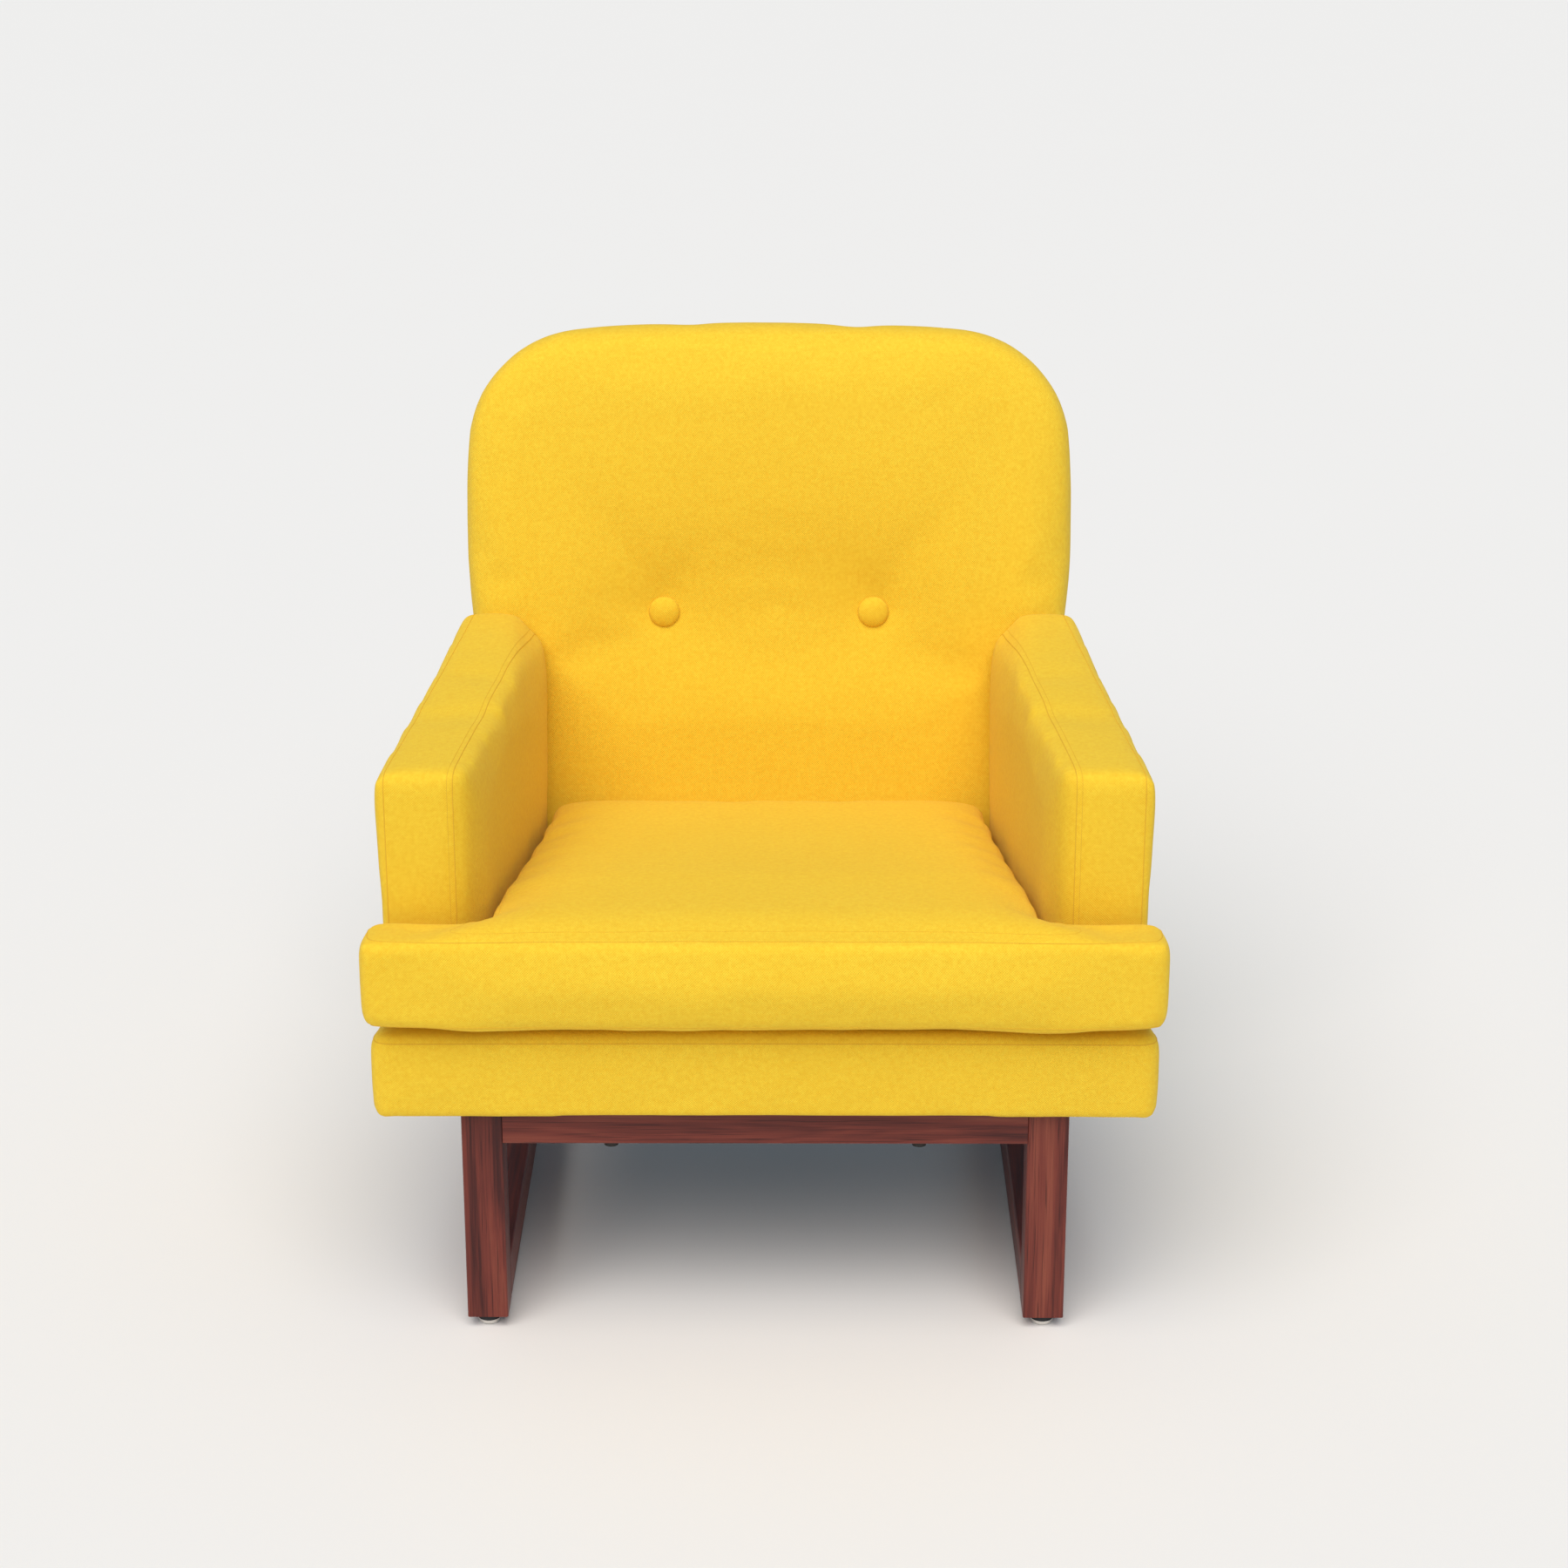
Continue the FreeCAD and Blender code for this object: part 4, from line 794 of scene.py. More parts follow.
class ARMCHAIR_OT_arms(bpy.types.Operator):
    """Make the two padded slab arms, each with a sewn band over its top and front"""

    bl_idname = "armchair.arms"
    bl_label = "Arms"

    def execute(self, context):
        soft = context.scene.armchair_soft
        slack = 4 * MM
        front = ARM_FRONT + slack
        rear = 150 * MM
        outer = ARM_INSET + slack
        inner = ARM_INSET + ARM_THICKNESS - slack
        arm = add_block("arm_right", (side_x(inner, front), front, deck_z(front)),
                        (side_x(outer, front), rear, arm_z(front) - slack))
        start_edit(arm)
        length = rear - front
        shift(arm, lambda co: co.y > 0, (-length * TOE, 0, -length * SEAT_SLOPE))
        rise = arm_z(rear) - arm_z(front) + length * SEAT_SLOPE
        shift(arm, lambda co: co.y > 0 and co.z > ARM_TOP / 2 + 100 * MM, (0, 0, rise))
        slice_at(arm, (0, 0, BASE_TOP), (0, 1, 0))
        for low in (True, False):
            shift(arm, lambda co, low=low: co.y > rear - 5 * MM and (co.z < 0.45) == low,
                  (0, (back_y(deck_z(rear)) if low else back_y(arm_z(rear))) - rear, 0))
        edge_x = side_x(inner, rear)
        wedge = Vector((-1, 0.05, 1)).normalized()
        slice_at(arm, (edge_x, rear, arm_z(rear) - 34 * MM), wedge, clear_outer=True)
        upper = 0.50
        inner_side = lambda co: co.x < side_x((inner + outer) / 2, co.y)
        long_edge = lambda edge: abs(edge.verts[0].co.y - edge.verts[1].co.y) > 120 * MM
        ease(arm, lambda edge: long_edge(edge) and middle(edge).z > upper and not inner_side(middle(edge)),
             9 * MM, 3)
        ease(arm, lambda edge: middle(edge).y < front + 1 * MM
             and abs(edge.verts[0].co.z - edge.verts[1].co.z) > 120 * MM and inner_side(middle(edge)),
             24 * MM, 5)
        ease(arm, lambda edge: middle(edge).y < front + 4 * MM
             and abs(edge.verts[0].co.z - edge.verts[1].co.z) > 120 * MM and not inner_side(middle(edge)),
             9 * MM, 3)
        end_edit()
        close_mesh(arm, soft.voxel)
        fill_with_air(arm, soft.arm_pressure, 9 * MM, relax=16)
        self.fit(arm)
        self.reach_back(arm)
        finish_soft(arm, 1)
        settle(arm, CHAIR, "yellow_wool", wool(), "arm_pad_right")
        twin = mirrored(arm, "arm_left")
        settle(twin, CHAIR, "yellow_wool", wool(), "arm_pad_left")
        self.sew(context, arm, twin)
        return {"FINISHED"}

    def fit(self, arm):
        """Keep the arm between the deck, the back and the room for the cushion."""
        x, y, z = places_of(arm).T
        y = stretched_to(y, ARM_FRONT, y.max())
        share = stretched_to((z - deck_z(y)) / (arm_z(y) - deck_z(y)), -0.01, 1.012)
        inset = stretched_to(side_x(0, y) - x, ARM_INSET - 7 * MM, ARM_INSET + ARM_THICKNESS + 2 * MM)
        outer = np.clip(1 - (inset - ARM_INSET) / ARM_THICKNESS, 0, 1)
        x = side_x(inset, y) + 5 * MM * outer * np.clip(share, 0, 1)
        z = deck_z(y) + share * (arm_z(y) - deck_z(y))
        x = np.maximum(x, side_x(ARM_INSET + ARM_THICKNESS, y))
        z = np.maximum(z, deck_z(y) + 0.4 * MM)
        y = np.minimum(y, back_y(z) - 0.5 * MM)
        y = np.maximum(y, ARM_FRONT - 1 * MM)
        put_places(arm, np.stack((x, y, z), axis=1))

    def reach_back(self, arm):
        """Carry the rear end of the arm on to the round side of the back."""
        back = bpy.data.objects["back"]
        places = places_of(arm)
        for place in places:
            if place[1] > back_y(place[2]) - 4 * MM:
                start = (min(place[0], BACK_HIGH[0]), place[1] - 50 * MM, place[2])
                hit, found, _, _ = back.ray_cast(start, (0, 1, 0))
                if hit:
                    place[1] = min(max(found.y - 0.5 * MM, place[1]), place[1] + 35 * MM)
        put_places(arm, places)

    def sew(self, context, arm, twin):
        """The seams on both edges of the band."""
        radius = context.scene.armchair_cloth.seam_radius
        for label, inset, thin in (
            ("inner", 74 * MM, 1), ("outer", 9 * MM, 1), ("inner_stitch", 69 * MM, 0.5),
        ):
            point = (side_x(ARM_INSET + inset, ARM_FRONT), ARM_FRONT, 0)
            seam = seam_loop(f"arm_seam_{label}_right", arm, point, (1, TOE, 0), radius * thin,
                             lambda co: co.z > deck_z(co.y) + 6 * MM and co.y < back_y(co.z) - 4 * MM)
            settle(seam, CHAIR, "yellow_wool", thread())
            other = mirrored(seam, f"arm_seam_{label}_left")
            settle(other, CHAIR, "yellow_wool", thread())


def on_back(x, up, depth):
    """A place in the raked frame of the back: across, up along it and into it."""
    return Vector((
        x,
        BACK_FOOT + up * math.sin(RAKE) + depth * math.cos(RAKE),
        BASE_TOP + up * math.cos(RAKE) - depth * math.sin(RAKE),
    ))


class ARMCHAIR_OT_back(bpy.types.Operator):
    """Make the raked back with its round shoulders and two tufts"""

    bl_idname = "armchair.back"
    bl_label = "Back"

    def execute(self, context):
        soft = context.scene.armchair_soft
        slack = 5 * MM
        crown = 12 * MM
        flare = 5 * MM
        taper = 2 * MM
        back = add_block("back", (-BACK_HALF + slack, slack, -60 * MM),
                         (BACK_HALF - slack, BACK_THICKNESS - slack, BACK_LENGTH - slack))
        start_edit(back)
        slice_at(back, (0, 0, FLARE_UP / 2), (0, 0, 1))
        slice_at(back, (0, 0, FLARE_UP), (0, 0, 1))
        for side in (LEFT, RIGHT):
            shift(back, lambda co: co.x * side > 0.1 and abs(co.z - FLARE_UP) < 1 * MM,
                  (side * flare, 0, 0))
            shift(back, lambda co: co.x * side > 0.1 and co.z > 0.6, (-side * taper, 0, -crown))
        ease(back, lambda edge: middle(edge).z > 0.6 and abs(middle(edge).x) > 0.3
             and abs(edge.verts[0].co.y - edge.verts[1].co.y) > 50 * MM, 112 * MM, 14)
        ease(back, lambda edge: len(edge.link_faces) == 2
             and sum(abs(face.normal.y) > 0.9 for face in edge.link_faces) == 1
             and middle(edge).z > -55 * MM, 30 * MM, 6)
        end_edit()
        back.rotation_euler = (-RAKE, 0, 0)
        back.location = (0, BACK_FOOT, BASE_TOP)
        alone(back)
        bpy.ops.object.transform_apply(location=True, rotation=True, scale=True)
        start_edit(back)
        slice_at(back, (0, 0, BASE_TOP + 1.5 * MM), (0, 0, -1), clear_outer=True)
        end_edit()
        close_mesh(back, soft.voxel)
        self.bow(back, crown)
        held = self.tuft(back, soft.tuft_depth)
        fill_with_air(back, soft.back_pressure, 12 * MM, held=held)
        self.fit(back)
        finish_soft(back, 2)
        settle(back, CHAIR, "yellow_wool", wool(), "back_pad")
        seam = seam_loop("back_seam", back, on_back(0, 0.3, 96 * MM),
                         (0, math.cos(RAKE), -math.sin(RAKE)), context.scene.armchair_cloth.seam_radius,
                         lambda co: co.z > BASE_TOP + 8 * MM)
        settle(seam, CHAIR, "yellow_wool", thread())
        return {"FINISHED"}

    def in_raked_frame(self, places):
        """Across, depth and up of each place in the frame of the back."""
        y = places[:, 1] - BACK_FOOT
        z = places[:, 2] - BASE_TOP
        depth = y * math.cos(RAKE) - z * math.sin(RAKE)
        up = y * math.sin(RAKE) + z * math.cos(RAKE)
        return places[:, 0], depth, up

    def bow(self, back, crown):
        """Bow the top edge upwards, most in the middle."""
        places = places_of(back)
        across, _, up = self.in_raked_frame(places)
        share = np.clip((up - 0.45) / 0.19, 0, 1) ** 2
        rise = crown * (1 - np.clip(np.abs(across) / BACK_HALF, 0, 1) ** 2) * share
        places[:, 1] += rise * math.sin(RAKE)
        places[:, 2] += rise * math.cos(RAKE)
        put_places(back, places)

    def tuft(self, back, deepest):
        """Pull the face in round each button, deepest under it, and say which points it holds."""
        places = places_of(back)
        across, depth, up = self.in_raked_frame(places)
        at_face = np.clip(1 - (depth - 10 * MM) / (60 * MM), 0, 1)
        held = np.zeros(len(places), dtype=bool)
        pull = np.zeros(len(places))
        for side in (LEFT, RIGHT):
            dx = across - side * BUTTON_SPREAD
            dz = up - BUTTON_UP
            reach = np.hypot(dx, dz)
            angle = np.arctan2(dz, np.abs(dx))
            fold = np.exp(-((angle - 1.1) / 0.3) ** 2)
            width = 20 * MM + 24 * MM * fold
            pull = np.maximum(pull, deepest * np.exp(-(np.maximum(reach - 8 * MM, 0) / width) ** 1.2))
            held |= (reach < 15 * MM) & (depth < 40 * MM)
        pull *= at_face
        places[:, 1] += pull * math.cos(RAKE)
        places[:, 2] -= pull * math.sin(RAKE)
        put_places(back, places)
        return np.nonzero(held)[0]

    def fit(self, back):
        """Spread the back to its full size, and keep it clear of the cushion and the base."""
        places = places_of(back)
        across, depth, up = self.in_raked_frame(places)
        wide = stretched_to(across, -BACK_SPREAD, BACK_SPREAD)
        tall = up + np.clip(up / 0.65, 0, 1) * (659 * MM - up.max())
        thick = depth + np.clip(depth / 0.12, 0, 1) * (BACK_THICKNESS - depth.max())
        places[:, 0] = wide
        places[:, 1] = BACK_FOOT + tall * math.sin(RAKE) + thick * math.cos(RAKE)
        places[:, 2] = BASE_TOP + tall * math.cos(RAKE) - thick * math.sin(RAKE)
        across, depth, up = wide, thick, tall
        rise = np.clip((up - 0.16) / 0.12, 0, 1)
        middle_share = np.clip((0.25 - np.abs(across)) / 0.10, 0, 1)
        proud = 9 * MM * rise * middle_share
        short = np.minimum(depth + proud, 0)
        places[:, 1] -= short * math.cos(RAKE)
        places[:, 2] += short * math.sin(RAKE)
        places[:, 2] = np.maximum(places[:, 2], BASE_TOP + 1.5 * MM)
        put_places(back, places)


class ARMCHAIR_OT_buttons(bpy.types.Operator):
    """Make the two covered buttons and sit them in their tufts"""

    bl_idname = "armchair.buttons"
    bl_label = "Buttons"

    def execute(self, context):
        back = bpy.data.objects["back"]
        for label, side in SIDES:
            start = on_back(side * BUTTON_SPREAD, BUTTON_UP, -0.1)
            aim = Vector((0, math.cos(RAKE), -math.sin(RAKE)))
            hit, place, _, _ = back.ray_cast(start, aim)
            if not hit:
                raise RuntimeError("the back has no face behind a button")
            bpy.ops.object.select_all(action="DESELECT")
            bpy.ops.mesh.primitive_uv_sphere_add(segments=48, ring_count=24, radius=BUTTON_RADIUS)
            button = named_primitive(f"covered_button_{label}")
            places = places_of(button)
            dome = places[:, 2] > 0
            flat = np.hypot(places[:, 0], places[:, 1]) / BUTTON_RADIUS
            places[:, 2] = np.where(dome, places[:, 2] * 0.42, places[:, 2] * 0.45)
            places[:, 2] += np.where(dome, 0.5 * MM * np.cos(flat * math.pi / 2), 0)
            put_places(button, places)
            button.rotation_euler = (math.pi / 2 - RAKE, 0, 0)
            button.location = place - aim * 4 * MM
            alone(button)
            bpy.ops.object.transform_apply(location=True, rotation=True, scale=True)
            bpy.ops.object.shade_smooth()
            settle(button, CHAIR, "yellow_wool", wool(), f"button_{label}")
        return {"FINISHED"}


class ARMCHAIR_OT_seat_cushion(bpy.types.Operator):
    """Make the loose T-shaped seat cushion with its sewn edges"""

    bl_idname = "armchair.seat_cushion"
    bl_label = "Seat cushion"

    def execute(self, context):
        soft = context.scene.armchair_soft
        slack = soft.cushion_slack
        half = CUSHION_HIGH[0] - slack
        front = CUSHION_LOW[1] + slack
        ears = ARM_FRONT - CUSHION_GAP - slack
        rear = 140 * MM
        crown = CUSHION_LOW[1] + CUSHION_CROWN
        gap = ARM_INSET + ARM_THICKNESS + CUSHION_GAP + slack
        neck = side_x(gap, ears)
        height = CUSHION_HEIGHT - 2 * slack
        bottom = deck_z(front) + slack
        cushion = add_block("seat_cushion_cover", (-half, front, bottom), (half, ears, bottom + height))
        start_edit(cushion)
        for side in (LEFT, RIGHT):
            slice_at(cushion, (side * neck, 0, 0), (1, 0, 0))
        pick(cushion, "FACE", lambda face: face.normal.y > 0.9 and abs(middle(face).x) < neck)
        bpy.ops.mesh.extrude_region_move(TRANSFORM_OT_translate={"value": (0, crown - ears, 0)})
        pick(cushion, "FACE", lambda face: face.normal.y > 0.9 and abs(middle(face).x) < neck)
        bpy.ops.mesh.extrude_region_move(TRANSFORM_OT_translate={"value": (0, rear - crown, 0)})
        for row in (ears, crown, rear):
            at_row = lambda co, row=row: abs(co.y - row) < 1 * MM
            drop = (front - row) * SEAT_SLOPE
            high = float(self.top(row, slack)) - (bottom + height)
            for side in (LEFT, RIGHT):
                if row > ears:
                    shift(cushion, lambda co: at_row(co) and co.x * side > 0,
                          (side * (side_x(gap, row) - neck), 0, 0))
            low_limit = bottom + height / 2
            shift(cushion, lambda co: at_row(co) and co.z > low_limit, (0, 0, high))
            shift(cushion, lambda co: at_row(co) and co.z <= bottom + 1 * MM, (0, 0, drop))
        to_back = -slack - CUSHION_GAP - rear
        shift(cushion, lambda co: co.y > rear - 1 * MM and co.z > 0.33, (0, back_y(0.385) + to_back, 0))
        shift(cushion, lambda co: abs(co.y - rear) < 1 * MM and co.z < 0.33,
              (0, back_y(0.30) + to_back, 0))
        upright = lambda edge: abs(edge.verts[0].co.z - edge.verts[1].co.z) > 60 * MM
        ease(cushion, lambda edge: upright(edge) and abs(middle(edge).x) > half - 1 * MM, 14 * MM, 4)
        ease(cushion, lambda edge: upright(edge) and abs(middle(edge).y - ears) < 1 * MM
             and abs(middle(edge).x) < neck + 1 * MM, 24 * MM, 5)
        ease(cushion, lambda edge: upright(edge) and middle(edge).y > crown + 50 * MM, 18 * MM, 4)
        ease(cushion, rim, 8 * MM, 3)
        end_edit()
        close_mesh(cushion, soft.voxel)
        fill_with_air(cushion, soft.cushion_pressure, 16 * MM, relax=8)
        self.fit(cushion)
        finish_soft(cushion, 2)
        settle(cushion, LOOSE, "yellow_wool", wool(), "cushion_core", "cushion_cover")
        self.sew(context, cushion)
        return {"FINISHED"}

    def top(self, y, drop=0.0):
        """Height of the cushion's top at a place along Y."""
        front = CUSHION_LOW[1]
        crown = front + CUSHION_CROWN
        at_front = deck_z(front) + 113.5 * MM
        at_crown = deck_z(crown) + 121.5 * MM
        rising = at_front + (y - front) / (crown - front) * (at_crown - at_front)
        falling = at_crown - (y - crown) * math.tan(math.radians(7.2))
        return np.where(y < crown, rising, falling) - drop

    def fit(self, cushion):
        """Spread the cushion to its full size, flat on the deck and clear of the arms and the back."""
        x, y, z = places_of(cushion).T
        y = stretched_to(y, CUSHION_LOW[1] - 1 * MM, y.max())
        x = stretched_to(x, CUSHION_LOW[0] - 1.5 * MM, CUSHION_HIGH[0] + 1.5 * MM)
        ear_rear = ARM_FRONT - CUSHION_GAP
        neck = side_x(ARM_INSET + ARM_THICKNESS + CUSHION_GAP, y)
        z = stretched_to(z - deck_z(y), -1 * MM, 122 * MM) + deck_z(y)
        high = self.top(y)
        front = CUSHION_LOW[1] - 1 * MM
        from_front, from_top = crisper(y - front, high - z, 22 * MM, 3)
        y, z = front + from_front, high - from_top
        low = deck_z(y) - 4 * MM * np.clip((DECK_FRONT - y) / (20 * MM), 0, 1)
        from_front, from_low = crisper(y - front, z - low, 24 * MM)
        y, z = front + from_front, low + from_low
        ears = np.abs(x) > neck + 4 * MM
        from_rear, from_top = crisper(ear_rear - y, self.top(y) - z, 26 * MM, 4)
        y = np.where(ears, ear_rear - from_rear, y)
        z = np.where(ears, self.top(y) - from_top, z)
        sway = 1.6 * MM * np.cos(x * 15 + 0.8) * np.clip((DECK_FRONT - y) / (20 * MM), 0, 1)
        z = z - sway * np.clip(1 - (z - deck_z(y)) / (60 * MM), 0, 1)
        z = np.maximum(z, np.where(y > DECK_FRONT - 4 * MM, deck_z(y) + 0.5 * MM, DECK_HIGH[2] - 6 * MM))
        deeper = (y > ear_rear) & (np.abs(x) > neck)
        to_front = deeper & (y - ear_rear < np.abs(x) - neck)
        y = np.where(to_front, ear_rear, y)
        x = np.where(deeper & ~to_front, np.sign(x) * neck, x)
        y = np.minimum(y, back_y(z) - 4 * MM)
        x = np.clip(x, CUSHION_LOW[0] - 3 * MM, CUSHION_HIGH[0] + 3 * MM)
        y = np.maximum(y, CUSHION_LOW[1] - 4 * MM)
        put_places(cushion, np.stack((x, y, z), axis=1))

    def sew(self, context, cushion):
        """Seams round the top and bottom panels."""
        radius = context.scene.armchair_cloth.seam_radius
        slope = math.atan(SEAT_SLOPE)
        front = CUSHION_LOW[1]
        for label, up, thin in (("top", 101 * MM, 1), ("bottom", 15 * MM, 1),
                                ("top_stitch", 107 * MM, 0.5), ("bottom_stitch", 10 * MM, 0.5)):
            tilt = slope + (math.radians(1.2) if "top" in label else 0)
            seam = seam_loop(f"cushion_seam_{label}", cushion, (0, front, deck_z(front) + up),
                             (0, math.sin(tilt), math.cos(tilt)), radius * thin)
            settle(seam, LOOSE, "yellow_wool", thread())


class ARMCHAIR_OT_dust_cover(bpy.types.Operator):
    """Stretch the black dust cover under the seat"""

    bl_idname = "armchair.dust_cover"
    bl_label = "Dust cover"

    def execute(self, context):
        low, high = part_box("dust_cover")
        front_half = high[0]
        rear_half = front_half - (high[1] - low[1]) * TOE
        sheet = add_block("dust_cover_sheet", (-front_half, low[1], low[2] + 0.1 * MM),
                          (front_half, high[1], high[2] - 0.1 * MM))
        start_edit(sheet)
        for side in (LEFT, RIGHT):
            shift(sheet, lambda co: co.y > 0 and co.x * side > 0, (side * (rear_half - front_half), 0, 0))
        bpy.ops.mesh.select_all(action="SELECT")
        bpy.ops.mesh.subdivide(number_cuts=31)
        end_edit()
        x, y, z = places_of(sheet).T
        free_x = np.clip(1 - (x / (POST_LOW[0] - 4 * MM)) ** 2, 0, 1)
        middle_y = -80 * MM
        free_y = np.clip(1 - ((y - middle_y) / (210 * MM)) ** 2, 0, 1)
        z = z - 4 * MM * free_x * free_y
        put_places(sheet, np.stack((x, y, z), axis=1))
        bpy.ops.object.shade_smooth()
        bpy.ops.object.shade_smooth_by_angle(angle=math.radians(40))
        black = coarse_cloth_material("black_dust_cloth", (0.022, 0.022, 0.024), 1.4 * MM, 0.95)
        settle(sheet, CHAIR, "dust_cloth", black, "dust_cover")
        return {"FINISHED"}


class ARMCHAIR_OT_zip(bpy.types.Operator):
    """Sew the zip into the rear boxing of the seat cushion"""

    bl_idname = "armchair.zip"
    bl_label = "Zip"

    def execute(self, context):
        low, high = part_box("cushion_zip")
        half = high[0]
        centre = (low[2] + high[2]) / 2
        width = high[2] - low[2]
        bpy.ops.object.select_all(action="DESELECT")
        bpy.ops.mesh.primitive_grid_add(x_subdivisions=75, y_subdivisions=8, size=1,
                                        location=(0, BEHIND, centre), rotation=(-math.pi / 2, 0, 0))
        bpy.context.active_object.scale = (2 * half, width, 1)
        tape = named_primitive("zip_tape")
        self.lay(tape, lambda places: places[:, (0, 2)], 0.4 * MM)
        apply_modifier(tape, "SOLIDIFY", thickness=0.6 * MM, offset=1.0)
        pitch = 2 * MM
        tooth = add_block("zip_teeth", (-half, BEHIND - 0.6 * MM, centre - 2.4 * MM),
                          (-half + 1.2 * MM, BEHIND + 0.6 * MM, centre + 2.4 * MM))
        start_edit(tooth)
        ease(tooth, lambda edge: middle(edge).y > BEHIND, 0.3 * MM, 1)
        end_edit()
        apply_modifier(tooth, "ARRAY", count=int(2 * half / pitch), use_relative_offset=False,
                       use_constant_offset=True, constant_offset_displace=(pitch, 0, 0))
        self.lay(tooth, lambda places: [(place[0], centre) for place in places], 1.2 * MM)
        end = half - 12 * MM
        slider = add_block("zip_slider", (end - 4 * MM, BEHIND - 0.9 * MM, centre - 4 * MM),
                           (end + 5 * MM, BEHIND + 0.5 * MM, centre + 4 * MM))
        start_edit(slider)
        pick(slider, "FACE", lambda face: face.normal.x < -0.9)
        bpy.ops.mesh.inset(thickness=0.3 * MM)
        bpy.ops.mesh.extrude_region_move(TRANSFORM_OT_translate={"value": (-16 * MM, 0, 0)})
        bpy.ops.transform.resize(value=(1, 0.5, 0.6), center_override=(end - 20 * MM, BEHIND, centre))
        ease(slider, lambda edge: True, 0.25 * MM, 2)
        end_edit()
        self.lay(slider, lambda places: [(end, centre)] * len(places), 2.2 * MM)
        bpy.ops.object.shade_smooth_by_angle(angle=math.radians(35))
        cloth = coarse_cloth_material("zip_tape_cloth", (0.62, 0.36, 0.03), 1.0 * MM, 0.9)
        settle(tape, LOOSE, "zip_tape", cloth, "cushion_zip")
        settle(tooth, LOOSE, "zip_tape", matte_material("zip_nylon", (0.70, 0.45, 0.06), 400, 0.5, 0.05 * MM))
        settle(slider, LOOSE, "nickelled_steel", metal_material("zip_slider_metal", (0.6, 0.58, 0.54), 0.3))
        return {"FINISHED"}

    def lay(self, piece, seen_from, proud):
        """Move each point from its plane on to the rear of the cushion."""
        cushion = bpy.data.objects["seat_cushion_cover"]
        places = places_of(piece)
        for place, (x, z) in zip(places, seen_from(places)):
            hit, found, _, _ = cushion.ray_cast((float(x), BEHIND + 0.1, float(z)), (0, -1, 0))
            if not hit:
                raise RuntimeError("the cushion has no cloth behind the zip")
            place[1] += found.y + proud - BEHIND
        put_places(piece, places)


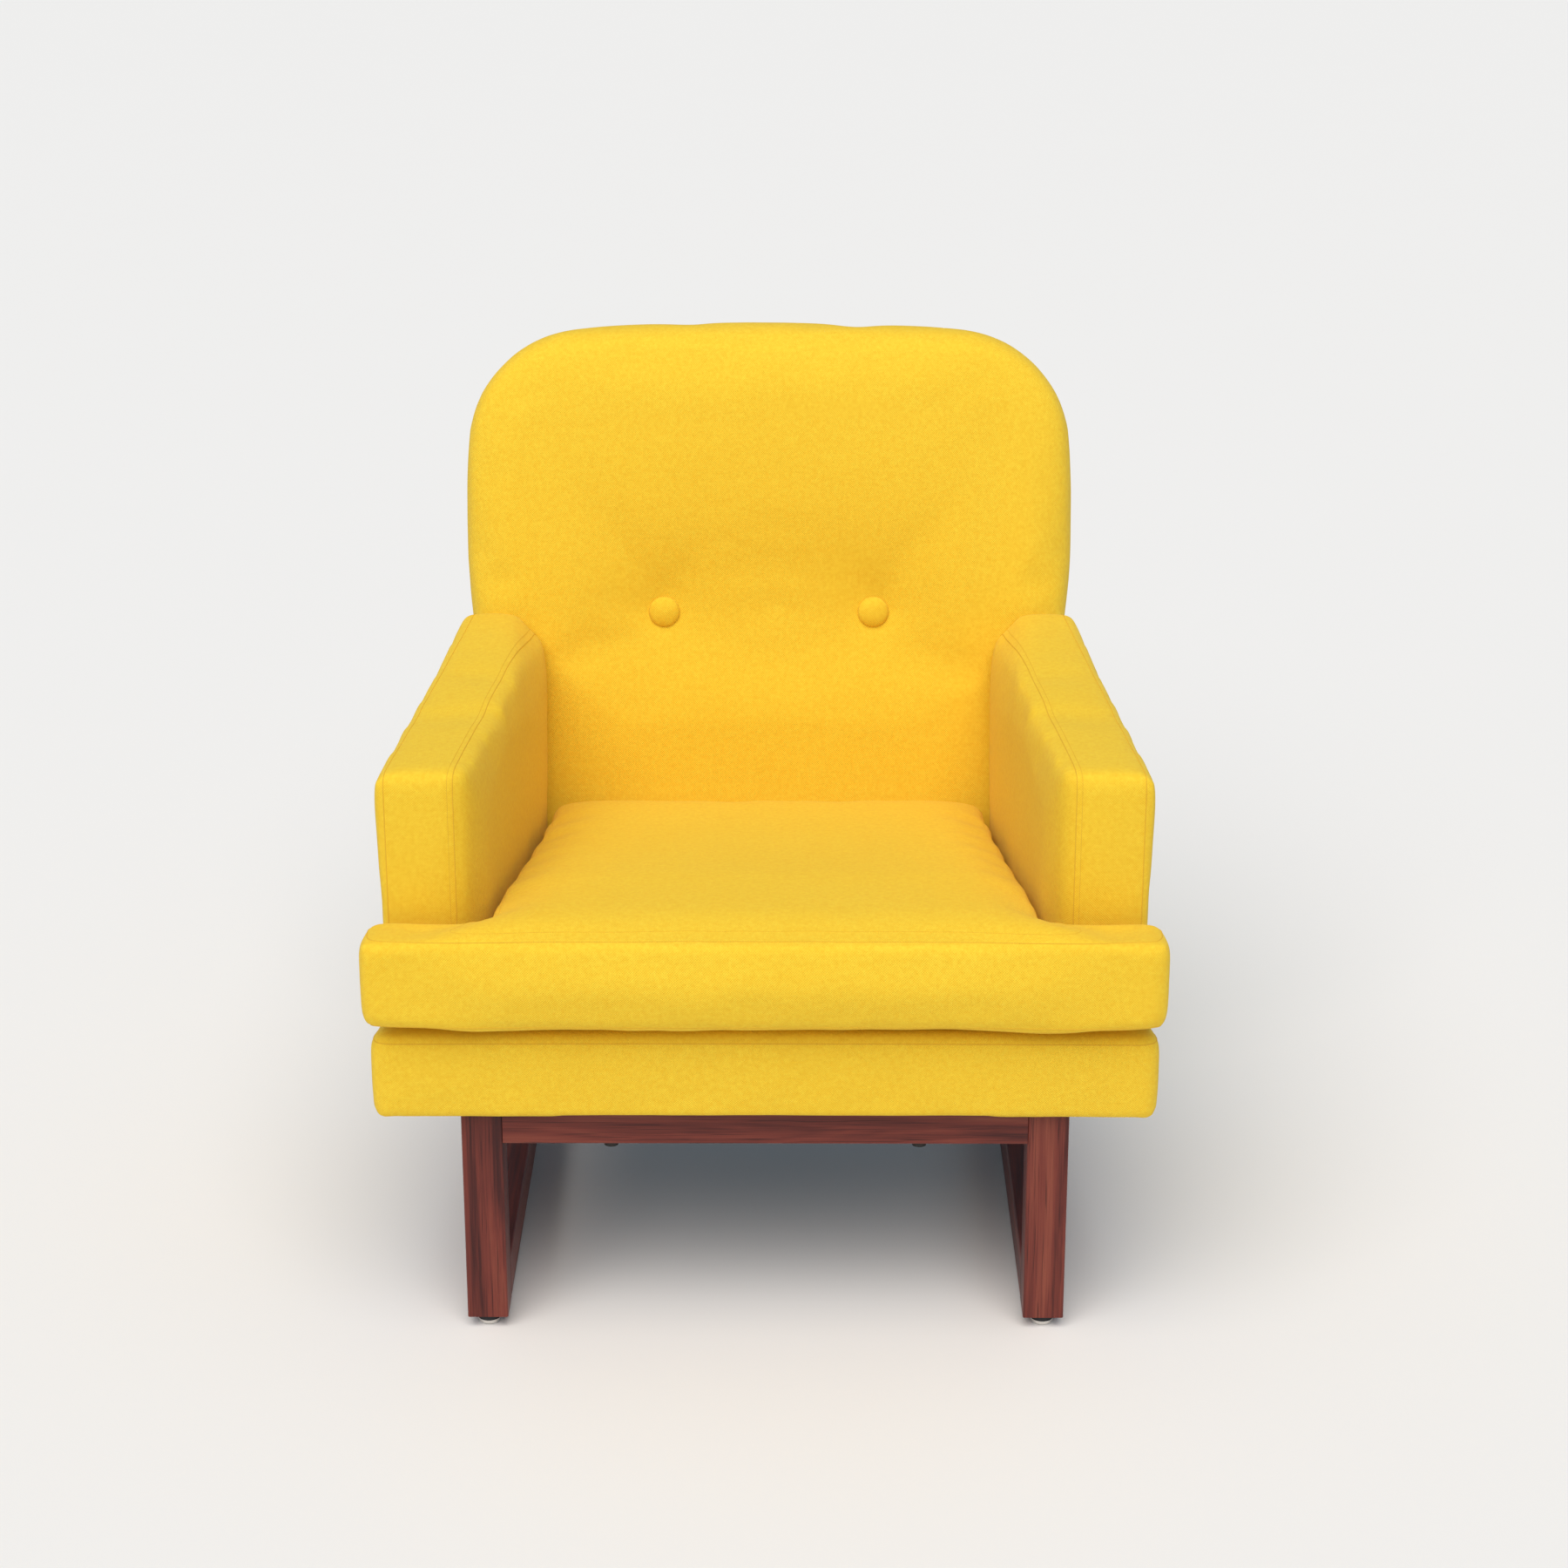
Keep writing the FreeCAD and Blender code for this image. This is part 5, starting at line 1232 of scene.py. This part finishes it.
class ARMCHAIR_OT_stage(bpy.types.Operator):
    """Set the pale floor, the soft light and the camera"""

    bl_idname = "armchair.stage"
    bl_label = "Stage"

    def execute(self, context):
        stage = context.scene.armchair_stage
        bpy.ops.object.select_all(action="DESELECT")
        bpy.ops.mesh.primitive_plane_add(size=60, location=(0, 0, 0))
        floor = named_primitive("floor")
        material, tree, shader = new_material("pale_floor")
        here = tree.nodes.new("ShaderNodeTexCoord").outputs["Object"]
        mottle = noise(tree, here, 3, 2.0, 0.5)
        colour = tuple(stage.floor)
        join(tree, tinted(tree, mottle, colour, tuple(channel * 0.995 for channel in colour)),
             shader.inputs["Base Color"])
        shader.inputs["Roughness"].default_value = 0.9
        shader.inputs["Specular IOR Level"].default_value = 0.1
        dress(floor, material)
        world = bpy.data.worlds.new("soft_room")
        world.use_nodes = True
        background = world.node_tree.nodes["Background"]
        background.inputs["Color"].default_value = (*stage.sky, 1)
        background.inputs["Strength"].default_value = stage.sky_strength
        context.scene.world = world
        bpy.ops.object.select_all(action="DESELECT")
        bpy.ops.object.light_add(type="SUN", rotation=(math.radians(35), 0, math.radians(-10)),
                                 location=(0, -2, 3))
        light = context.active_object
        light.name = "key_light"
        light.data.energy = stage.key_strength
        light.data.angle = math.radians(60)
        light.data.color = (1.0, 0.94, 0.88)
        bpy.ops.object.select_all(action="DESELECT")
        bpy.ops.object.camera_add(location=stage.camera_place,
                                  rotation=(math.pi / 2 - stage.camera_pitch, 0, stage.camera_turn))
        camera = context.active_object
        camera.name = "camera"
        camera.data.lens = stage.lens
        camera.data.sensor_width = 36
        context.scene.camera = camera
        context.scene.view_settings.view_transform = "Standard"
        context.scene.view_settings.look = "None"
        return {"FINISHED"}


# ---------------------------------------------------------------- panel and registration

OPERATORS = (
    ARMCHAIR_OT_stage,
    ARMCHAIR_OT_walnut_base,
    ARMCHAIR_OT_glides,
    ARMCHAIR_OT_inner_frame,
    ARMCHAIR_OT_deck,
    ARMCHAIR_OT_back,
    ARMCHAIR_OT_arms,
    ARMCHAIR_OT_buttons,
    ARMCHAIR_OT_seat_cushion,
    ARMCHAIR_OT_zip,
    ARMCHAIR_OT_dust_cover,
)
SETTINGS = (
    ("armchair_cloth", ClothSettings),
    ("armchair_soft", SoftSettings),
    ("armchair_wood", WoodSettings),
    ("armchair_stage", StageSettings),
)


class ARMCHAIR_PT_panel(bpy.types.Panel):
    """The armchair's pieces and settings"""

    bl_idname = "ARMCHAIR_PT_panel"
    bl_label = "Armchair"
    bl_space_type = "VIEW_3D"
    bl_region_type = "UI"
    bl_category = "Armchair"

    def draw(self, context):
        for name, settings in SETTINGS:
            box = self.layout.box()
            for field in settings.__annotations__:
                box.prop(getattr(context.scene, name), field)
        for operator in OPERATORS:
            self.layout.operator(operator.bl_idname)


def register():
    for name, settings in SETTINGS:
        bpy.utils.register_class(settings)
        setattr(bpy.types.Scene, name, bpy.props.PointerProperty(type=settings))
    for operator in OPERATORS:
        bpy.utils.register_class(operator)
    bpy.utils.register_class(ARMCHAIR_PT_panel)


def unregister():
    bpy.utils.unregister_class(ARMCHAIR_PT_panel)
    for operator in reversed(OPERATORS):
        bpy.utils.unregister_class(operator)
    for name, settings in reversed(SETTINGS):
        delattr(bpy.types.Scene, name)
        bpy.utils.unregister_class(settings)


def main():
    """Dress the chair piece by piece."""
    register()
    for operator in OPERATORS:
        group, name = operator.bl_idname.split(".")
        getattr(getattr(bpy.ops, group), name)()


if __name__ == "__main__":
    main()
